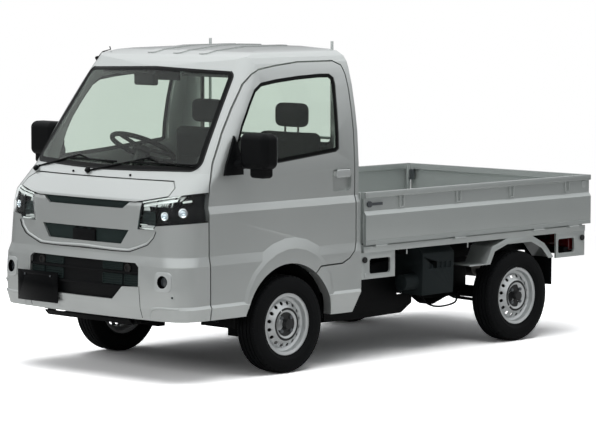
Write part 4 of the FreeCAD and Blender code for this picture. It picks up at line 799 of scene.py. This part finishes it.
def lampPlace(s, t, sign):
    return (lamp["inner"] + lamp["reach"] * s) * sign, lamp["base"] + lamp["height"] * t


def fillHeadlamps(made):
    left, right, low = lamp["bar"]
    end, base, top = lamp["ribs"]

    def isRib(centre, normal):
        s, t = lampShare(centre)
        return s < end and base < t < top and normal.y < lamp["ribFacing"]

    # Faces painted near-white: the light bar as a painted glow, and the lowest ribs as a painted highlight
    def isPaintedGlow(centre, normal):
        s, t = lampShare(centre)
        floor = low + lamp["barSlope"] * max(0.0, s - left) - lamp["barMargin"]
        isBar = left < s < right and t > floor and normal.y < lamp["barFacing"]
        return isBar or (isRib(centre, normal) and t < lamp["highlightRibTop"])

    paintWhere(skins["lamp_bowls"], made["insertGrey"], isRib)
    paintWhere(skins["lamp_bowls"], made["paintedGlowBar"], isPaintedGlow)
    for sign, side in bothSides:
        for k, (s, t, radius, aim) in enumerate(lamp["projectors"]):
            x, z = lampPlace(s, t, sign)
            place, normal = onto("lamp_bowls", (x, ahead, z), backward)
            facing = Vector((aim * sign, -1, 0)).normalized()
            middle = place + facing * lamp["cupLift"]
            cup = startRound("projector_cup_" + side + str(k), middle, facing, radius, lamp["cupDepth"],
                             sides=40, bevel=lamp["cupEdge"])
            turn = cup.matrix_world.to_3x3()
            editFaces(cup, lambda face: (turn @ face.normal).dot(facing) > lamp["cupFacing"])
            bpy.ops.mesh.inset(thickness=radius * lamp["cupWallShare"], depth=-lamp["cupHollow"])
            backToObject()
            keep(cup, made["chrome"])
            choose()
            bpy.ops.mesh.primitive_uv_sphere_add(segments=32, ring_count=16, radius=radius * lamp["domeShare"],
                                                 location=middle)
            dome = bpy.context.object
            dome.name = "projector_dome_" + side + str(k)
            smoothTo(dome, 60)
            keep(dome, made["domeGlass"])
        # The light guide tube takes the same near-white painted glow
        points = lineOn("lamp_bowls", [lampPlace(s, t, sign) for s, t in lamp["guide"]])
        keep(tubeAlong("light_guide_" + side, points, lamp["guideRadius"]), made["paintedGlowBar"])


# Mirror glass on the rear of each head: how wide the head is, and the glass's margins, in metres
mirrorPlate = {"width": 0.195, "inset": 0.022, "foot": 0.075, "thick": 0.002, "sunk": 0.001, "edge": 0.0008}


def glazeMirrors(made):
    low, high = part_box("mirror_left")
    inset, face = mirrorPlate["inset"], high[1] - mirrorPlate["sunk"]
    plate = startBlock("mirror_glass_left",
                       (high[0] - mirrorPlate["width"] + inset, face, low[2] + mirrorPlate["foot"]),
                       (high[0] - inset, face + mirrorPlate["thick"], high[2] - inset), mirrorPlate["edge"], 2)
    keepPair(plate, made["mirrorGlass"], "door_left")


# Cab interior seen through the glass: each block with its edge and the steps of that, the vents as (x, z) and
# their blades' heights above them, and half the size, the depth, edge and finish of both, in metres
inside = {
    "sensor": ((-0.175, -1.145, 1.530), (-0.012, -1.105, 1.600), 0.012, 4),
    "visors": [((-0.50, -1.08, 1.585), (-0.16, -0.93, 1.603), 0.006, 3),
               ((0.14, -1.08, 1.585), (0.50, -0.93, 1.603), 0.006, 3)],
    "vents": [(-0.56, 0.985), (-0.16, 0.985), (0.02, 0.985), (0.52, 0.985)],
    "ventFrame": ((0.0525, 0.0275), (-0.004, 0.006), 0.003, "black_plastic"),
    "blades": [-0.0189444, -0.0067222, 0.0055, 0.0177222],
    "blade": ((0.0441, 0.002), (0.004, 0.010), 0.0008, "doorTrim"),
}


def dressCab(made):
    keep(startBlock("sensor_housing", *inside["sensor"]), made["black_plastic"])
    for k, visor in enumerate(inside["visors"]):
        keep(startBlock("sun_visor_" + str(k), *visor), made["doorTrim"])

    def putVent(name, x, z, half, depth, edge, finish):
        low = (x - half[0], place.y + depth[0], z - half[1])
        block = startBlock(name, low, (x + half[0], place.y + depth[1], z + half[1]), edge, 2)
        keep(block, made[finish])

    for k, (x, z) in enumerate(inside["vents"]):
        place, normal = onto("dashboard", (x, 0, z), forward)
        putVent("vent_frame_" + str(k), x, z, *inside["ventFrame"])
        for row, rise in enumerate(inside["blades"]):
            putVent("vent_blade_" + str(k) + "_" + str(row), x, z + rise, *inside["blade"])


# Black sheets behind the front wheels, painted shade standing in for the dark under the truck: where each hangs and
# its outline seen from the side as (y, z), in metres
underShade = {
    "thick": 0.006, "edge": 0.002,
    "middle": (0.485, [(-0.46, 0.47), (-0.46, 0.212), (-0.116, 0.204), (0.300, 0.211), (0.390, 0.262),
                       (0.390, 0.319), (0.265, 0.319), (0.245, 0.52)]),
    "rear": (0.372, [(0.57, 0.50), (0.57, 0.262), (0.80, 0.250), (0.90, 0.262), (0.985, 0.30), (0.985, 0.50)]),
}


def hangShadeSheets(made):
    for part in ("middle", "rear"):
        place, outline = underShade[part]
        choose()
        bpy.ops.mesh.primitive_circle_add(vertices=len(outline), radius=1, fill_type="NGON")
        plate = bpy.context.object
        plate.name = "shade_sheet_" + part + "_left"
        for vertex, (y, z) in zip(plate.data.vertices, outline):
            vertex.co = (place, y, z)
        editAll(plate, "FACE")
        bpy.ops.mesh.extrude_region_move(TRANSFORM_OT_translate={"value": (-underShade["thick"], 0, 0)})
        bpy.ops.mesh.select_all(action="SELECT")
        bpy.ops.mesh.normals_make_consistent(inside=False)
        backToObject()
        roundEdges(plate, underShade["edge"], angle=50)
        smoothTo(plate, 40)
        # Black sheets that paint the deep shade under the truck
        keepPair(plate, made["black_plastic"])


# Formed pipe under the battery box, in metres
pipe = {
    "radius": 0.0055, "step": 0.01,
    "path": [(0.50, 0.440, 0.325), (0.52, 0.452, 0.275), (0.52, 0.490, 0.248), (0.52, 0.560, 0.228),
             (0.52, 0.640, 0.226), (0.50, 0.740, 0.234), (0.44, 0.830, 0.250), (0.38, 0.900, 0.275)],
}


def runPipe(made):
    keep(tubeAlong("under_pipe", smoothLine(pipe["path"], pipe["step"]), pipe["radius"]), made["black_plastic"])


# Door handle flap over the grip: its middle as (y, z), half its size and how far it goes in and out, in metres
handle = {"middle": (-0.419, 1.054), "half": (0.052, 0.022), "sunk": 0.004, "proud": 0.006, "edge": 0.0045}


def fitHandles(made):
    y, z = handle["middle"]
    across, rise = handle["half"]
    place, normal = onto("door_left", (-ahead, y, z), (-1, 0, 0))
    flap = startBlock("handle_flap_left", (place.x - handle["sunk"], y - across, z - rise),
                      (place.x + handle["proud"], y + across, z + rise), handle["edge"], 4)
    keepPair(flap, made["bezelSilver"], "door_left")


# Door insides: each part as (y, z) from and to, how far it goes in and out, its edge in metres and the steps
# of the edge, and its finish; the probe is a point in the cab from which the door's inner face is found
doorInside = {
    "probe": (0.30, -0.83, 0.80),
    "parts": {
        "door_trim_left": ((-1.20, 0.66), (-0.46, 1.05), 0.006, 0.001, 0.003, 2, "doorTrim"),
        "door_armrest_left": ((-1.00, 0.865), (-0.56, 0.900), 0.032, 0, 0.009, 4, "trim_grey"),
        "door_lever_left": ((-1.06, 0.955), (-0.98, 0.978), 0.018, 0, 0.004, 3, "black_plastic"),
    },
}


def trimDoors(made):
    place, normal = onto("door_left", doorInside["probe"], (1, 0, 0))
    for name, (start, end, inward, outward, edge, segments, finish) in doorInside["parts"].items():
        piece = startBlock(name, (place.x - inward, *start), (place.x + outward, *end), edge, segments)
        keepPair(piece, made[finish], "door_left")


# Folded antenna on the far windshield pillar, in metres
antenna = {
    "radius": 0.0035, "lean": (-0.6, 0, 0.8),
    "path": [(-0.592, -1.040, 1.664), (-0.590, -1.000, 1.700), (-0.586, -0.945, 1.712), (-0.585, -0.952, 1.728)],
}


def foldAntenna(made):
    keep(tubeAlong("antenna_rod", antenna["path"], antenna["radius"]), made["black_plastic"])
    putRound(made, "antenna_foot", "", antenna["path"][0], antenna["lean"])


# Seats: each pad's box for the left seat and its cells, sewn channels, posts and base, in metres
seat = {
    "pads": {
        "cushion": ((0.110, -0.930, 0.645), (0.560, -0.475, 0.755)),
        "back": ((0.112, -0.500, 0.770), (0.558, -0.402, 1.274)),
        "headrest": ((0.219, -0.474, 1.290), (0.451, -0.391, 1.428)),
    },
    "edge": 0.035, "cell": 0.009, "pressure": 3.0, "frames": 14, "quality": 4, "bulge": 0.006, "smooth": 70,
    "thread": 0.002, "seamStart": 0.140, "seamStep": 0.02, "seamPoints": 20,
    "backSeams": (0.86, 0.98, 1.10, 1.20), "backProbe": -1.5,
    "cushionSeams": (-0.84, -0.72, -0.60), "cushionProbe": 1.5,
    "posts": (0.285, 0.385), "postMiddle": (-0.435, 1.283),
    "base": ((0.15, -0.90, 0.624), (0.52, -0.46, 0.665), 0.006, 2),
}


def puff(pad):
    # The pad filled by a short cloth simulation under pressure
    remesh = pad.modifiers.new("cells", "REMESH")
    remesh.mode = "VOXEL"
    remesh.voxel_size = seat["cell"]
    applyModifiers(pad)
    before = [v.co.copy() for v in pad.data.vertices]
    cloth = pad.modifiers.new("cloth", "CLOTH")
    cloth.settings.use_pressure = True
    cloth.settings.uniform_pressure_force = seat["pressure"]
    cloth.settings.effector_weights.gravity = 0
    cloth.settings.quality = seat["quality"]
    for frameIndex in range(1, seat["frames"] + 1):
        bpy.context.scene.frame_set(frameIndex)
    applyModifiers(pad)
    bpy.context.scene.frame_set(1)
    for vertex, start in zip(pad.data.vertices, before):
        move = vertex.co - start
        if move.length > seat["bulge"]:
            vertex.co = start + move.normalized() * seat["bulge"]
    smoothTo(pad, seat["smooth"])


def sewSeams(made, pad, name, starts, direction):
    # Sewn channels: thread laid on the pad where rays meet it
    tree = treeOf(pad.data)
    across = [seat["seamStart"] + seat["seamStep"] * k for k in range(seat["seamPoints"])]
    for k, (y, z) in enumerate(starts):
        hits = [tree.ray_cast(Vector((x, y, z)), Vector(direction))[0] for x in across]
        points = [place for place in hits if place is not None]
        keepPair(tubeAlong(name + "_left_" + str(k), points, seat["thread"], resolution=1), made["rubber"])


def upholster(made):
    pads = {}
    for name, (low, high) in seat["pads"].items():
        grow = seat["bulge"] / 2
        pad = startBlock("seat_" + name + "_left", [a + grow for a in low], [b - grow for b in high], seat["edge"], 4)
        puff(pad)
        pads[name] = pad
        for piece in keepPair(pad, made["seat_cloth"]):
            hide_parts("seats")
    sewSeams(made, pads["back"], "back_seam", [(seat["backProbe"], z) for z in seat["backSeams"]], backward)
    sewSeams(made, pads["cushion"], "cushion_seam", [(y, seat["cushionProbe"]) for y in seat["cushionSeams"]],
             downward)
    for sign, side in bothSides:
        for k, x in enumerate(seat["posts"]):
            putRound(made, "headrest_post", "_" + side + str(k), (x * sign, *seat["postMiddle"]), upward)
    keepPair(startBlock("seat_base_left", *seat["base"]), made["black_plastic"])


# Bed: blocks of the left side as low and high corner, rounded edge, finish and body; where the rays for the
# round parts meet the sides, as (y, z), and the floor, as (x, y); and the latch's area; in metres
bed = {
    "blocks": {
        "gate_strip": ((0.690, 1.640, 0.660), (0.706, 1.646, 0.932), 0.001, "bed_paint", "side_gate_left"),
        "gate_seal": ((0.682, -0.245, 0.651), (0.7065, 1.646, 0.656), 0.0008, "rubber", "side_gate_left"),
        "gate_front_strip": ((0.682, -0.256, 0.658), (0.7065, -0.250, 0.932), 0.001, "bed_paint",
                             "side_gate_left"),
        "tailgate_strip": ((0.689, 1.648, 0.660), (0.693, 1.664, 0.932), 0.001, "bed_paint", "tailgate"),
        "latch_plate": ((0.655, 1.648, 0.840), (0.688, 1.664, 0.905), 0.003, "nutZinc", "tailgate"),
        "lamp_shield": ((0.425, 1.500, 0.474), (0.690, 1.540, 0.515), 0.003, "black_plastic", "root"),
        "lamp_tray": ((0.425, 1.541, 0.474), (0.690, 1.640, 0.494), 0.003, "black_plastic", "root"),
    },
    "tailgateSeal": ((-0.681, 1.635, 0.651), (0.681, 1.663, 0.656), 0.0008, 2),
    "buffers": [(-0.256, 0.568), (1.628, 0.568)], "boss": (-0.247, 0.483), "catch": (1.640, 0.885),
    "floorBolts": [(-0.60, 0.0), (-0.60, 0.7), (-0.60, 1.4), (0.60, 0.0), (0.60, 0.7), (0.60, 1.4)],
    "latchFront": -0.112, "latchBase": 0.845, "latchTop": 0.90, "latchInner": 0.7165,
}


def dressBed(made):
    for name, (low, high, edge, finish, body) in bed["blocks"].items():
        keepPair(startBlock(name + "_left", low, high, edge, 2), made[finish], body)
    for sign, side in bothSides:
        gate = "side_gate_" + side
        rounds = [("buffer", side + str(k), "bed_side_panels", place) for k, place in enumerate(bed["buffers"])]
        rounds.append(("panel_boss", side, "bed_side_panels", bed["boss"]))
        rounds.append(("gate_catch", side, gate, bed["catch"]))
        for kind, suffix, node, (y, z) in rounds:
            setRound(made, kind, "_" + suffix, node, (-ahead * sign, y, z), (-sign, 0, 0),
                     gate if node == gate else "root")
    keep(startBlock("tailgate_seal", *bed["tailgateSeal"]), made["rubber"], "tailgate")
    for k, (x, y) in enumerate(bed["floorBolts"]):
        setRound(made, "floor_bolt", "_" + str(k), "bed_floor", (x, y, above), downward)

    def isLatch(centre, normal):
        return (centre.y < bed["latchFront"] and bed["latchBase"] < centre.z < bed["latchTop"]
                and abs(centre.x) > bed["latchInner"])

    for side in ("left", "right"):
        paintWhole(skins["side_gate_" + side], made["nutZinc"], isLatch)
    paintWhere(skins["battery_box"], made["boxGrey"], lambda centre, normal: True)


# Tail lamp lenses on the rear face of each lamp, as (inner, outer) from the middle plane, in metres
tailLamp = {
    "front": 1.6475, "rear": 1.6545, "low": 0.503, "high": 0.601, "edge": 0.003, "bodyEdge": 0.004,
    "lenses": [("clear", 0.436, 0.492, "lampClear"), ("amber", 0.497, 0.556, "amber"),
               ("stop", 0.561, 0.684, "lampStop")],
}


def finishTailLamps(made):
    piece = pressedCopy("tail_lamps")
    roundEdges(piece, tailLamp["bodyEdge"], 3)
    smoothTo(piece)
    standFor(piece, "tail_lamps")
    for name, inner, outer, finish in tailLamp["lenses"]:
        lens = startBlock("tail_" + name + "_left", (inner, tailLamp["front"], tailLamp["low"]),
                          (outer, tailLamp["rear"], tailLamp["high"]), tailLamp["edge"], 3)
        keepPair(lens, made[finish])


# The floor fades to the white of the backdrop away from the truck. Whites and glows are strengths; in gloss the
# sky begins between two heights of a ray's direction. Lamps have place, target, size in metres and watts
stage = {
    "size": 160, "fadeStart": 3.2, "fadeEnd": 7.5, "seenWhite": 1.75, "ownWhite": 0.55,
    "ambient": 0.30, "ambientColour": "#f4f6f8", "wallGlow": 0.33, "skyGlow": 1.0, "glossColour": "#f6f8fa",
    "wallTop": 0.05, "skyBase": 0.45,
    "lamps": {
        "topSoftbox": ((0.3, -0.6, 6.0), (0, 0, 0), (7, 7), 480),
        "frontSoftbox": ((0.5, -8.5, 4.0), (0, -1.0, 0.8), (5, 2.5), 170),
    },
}


def seenDirectly(tree):
    # 1 for rays that show the backdrop: to the camera and through glass
    path = addNode(tree, "LightPath")
    first = addNode(tree, "Math", {}, {0: path.outputs["Is Camera Ray"], 1: path.outputs["Is Transmission Ray"]},
                    operation="MAXIMUM")
    return path, first.outputs[0]


def makeFloor():
    choose()
    bpy.ops.mesh.primitive_plane_add(size=stage["size"], location=(0, 0, 0))
    floor = bpy.context.object
    floor.name = "floor"
    made, tree = startMaterial("paleFloor")
    path, seen = seenDirectly(tree)
    white = addNode(tree, "MapRange", {1: 0.0, 2: 1.0, 3: stage["ownWhite"], 4: stage["seenWhite"]}, {0: seen})
    near = addNode(tree, "BsdfDiffuse", {}, {"Color": white.outputs[0]})
    far = addNode(tree, "Emission", {"Color": linear("#ffffff"), "Strength": 1.0})
    place = addNode(tree, "TexCoord")
    reach = addNode(tree, "VectorMath", {}, {0: place.outputs["Object"]}, operation="LENGTH")
    fade = addNode(tree, "MapRange", {1: stage["fadeStart"], 2: stage["fadeEnd"]}, {0: reach.outputs["Value"]},
                   interpolation_type="SMOOTHSTEP")
    shown = addNode(tree, "Math", {}, {0: fade.outputs[0], 1: seen}, operation="MULTIPLY")
    mix = addNode(tree, "MixShader", {}, {0: shown.outputs[0], 1: near.outputs[0], 2: far.outputs[0]})
    addNode(tree, "OutputMaterial", {}, {"Surface": mix.outputs[0]})
    floor.data.materials.append(made)


def makeWorld():
    world = bpy.data.worlds.new("studio")
    bpy.context.scene.world = world
    world.use_nodes = True
    tree = world.node_tree
    tree.nodes.clear()
    path, seen = seenDirectly(tree)
    place = addNode(tree, "TexCoord")
    height = addNode(tree, "SeparateXYZ", {}, {0: place.outputs["Generated"]})
    rise = addNode(tree, "MapRange",
                   {1: stage["wallTop"], 2: stage["skyBase"], 3: stage["wallGlow"], 4: stage["skyGlow"]},
                   {0: height.outputs["Z"]}, interpolation_type="SMOOTHSTEP")
    ambient = addNode(tree, "Background", {"Color": linear(stage["ambientColour"]), "Strength": stage["ambient"]})
    gloss = addNode(tree, "Background", {"Color": linear(stage["glossColour"])}, {"Strength": rise.outputs[0]})
    backdrop = addNode(tree, "Background", {"Color": linear("#ffffff"), "Strength": 1.0})
    soft = addNode(tree, "MixShader", {}, {0: path.outputs["Is Glossy Ray"], 1: ambient.outputs[0],
                                           2: gloss.outputs[0]})
    mix = addNode(tree, "MixShader", {}, {0: seen, 1: soft.outputs[0], 2: backdrop.outputs[0]})
    addNode(tree, "OutputWorld", {}, {"Surface": mix.outputs[0]})


def makeLights():
    for name, (place, target, size, power) in stage["lamps"].items():
        data = bpy.data.lights.new(name, "AREA")
        data.shape = "RECTANGLE"
        data.size, data.size_y = size
        data.energy = power
        light = plainPiece(name, data)
        light.location = place
        light.rotation_euler = (Vector(target) - Vector(place)).to_track_quat("-Z", "Y").to_euler()
        light.visible_glossy = False


bpy.context.scene.view_settings.view_transform = "Standard"
makeCamera()
makeFloor()
makeWorld()
makeLights()
print("stage, lights and camera are in place")
materials = makeMaterials()
for work in (dressFrame, pressPanels, finishWheels, finishFront, finishFogLamps, finishTailLamps, makeTyres,
             borderPanes, detailFront, fillHeadlamps, glazeMirrors, dressCab, hangShadeSheets, runPipe,
             fitHandles, trimDoors, foldAntenna, upholster, dressBed):
    work(materials)
    print(work.__name__, "done")
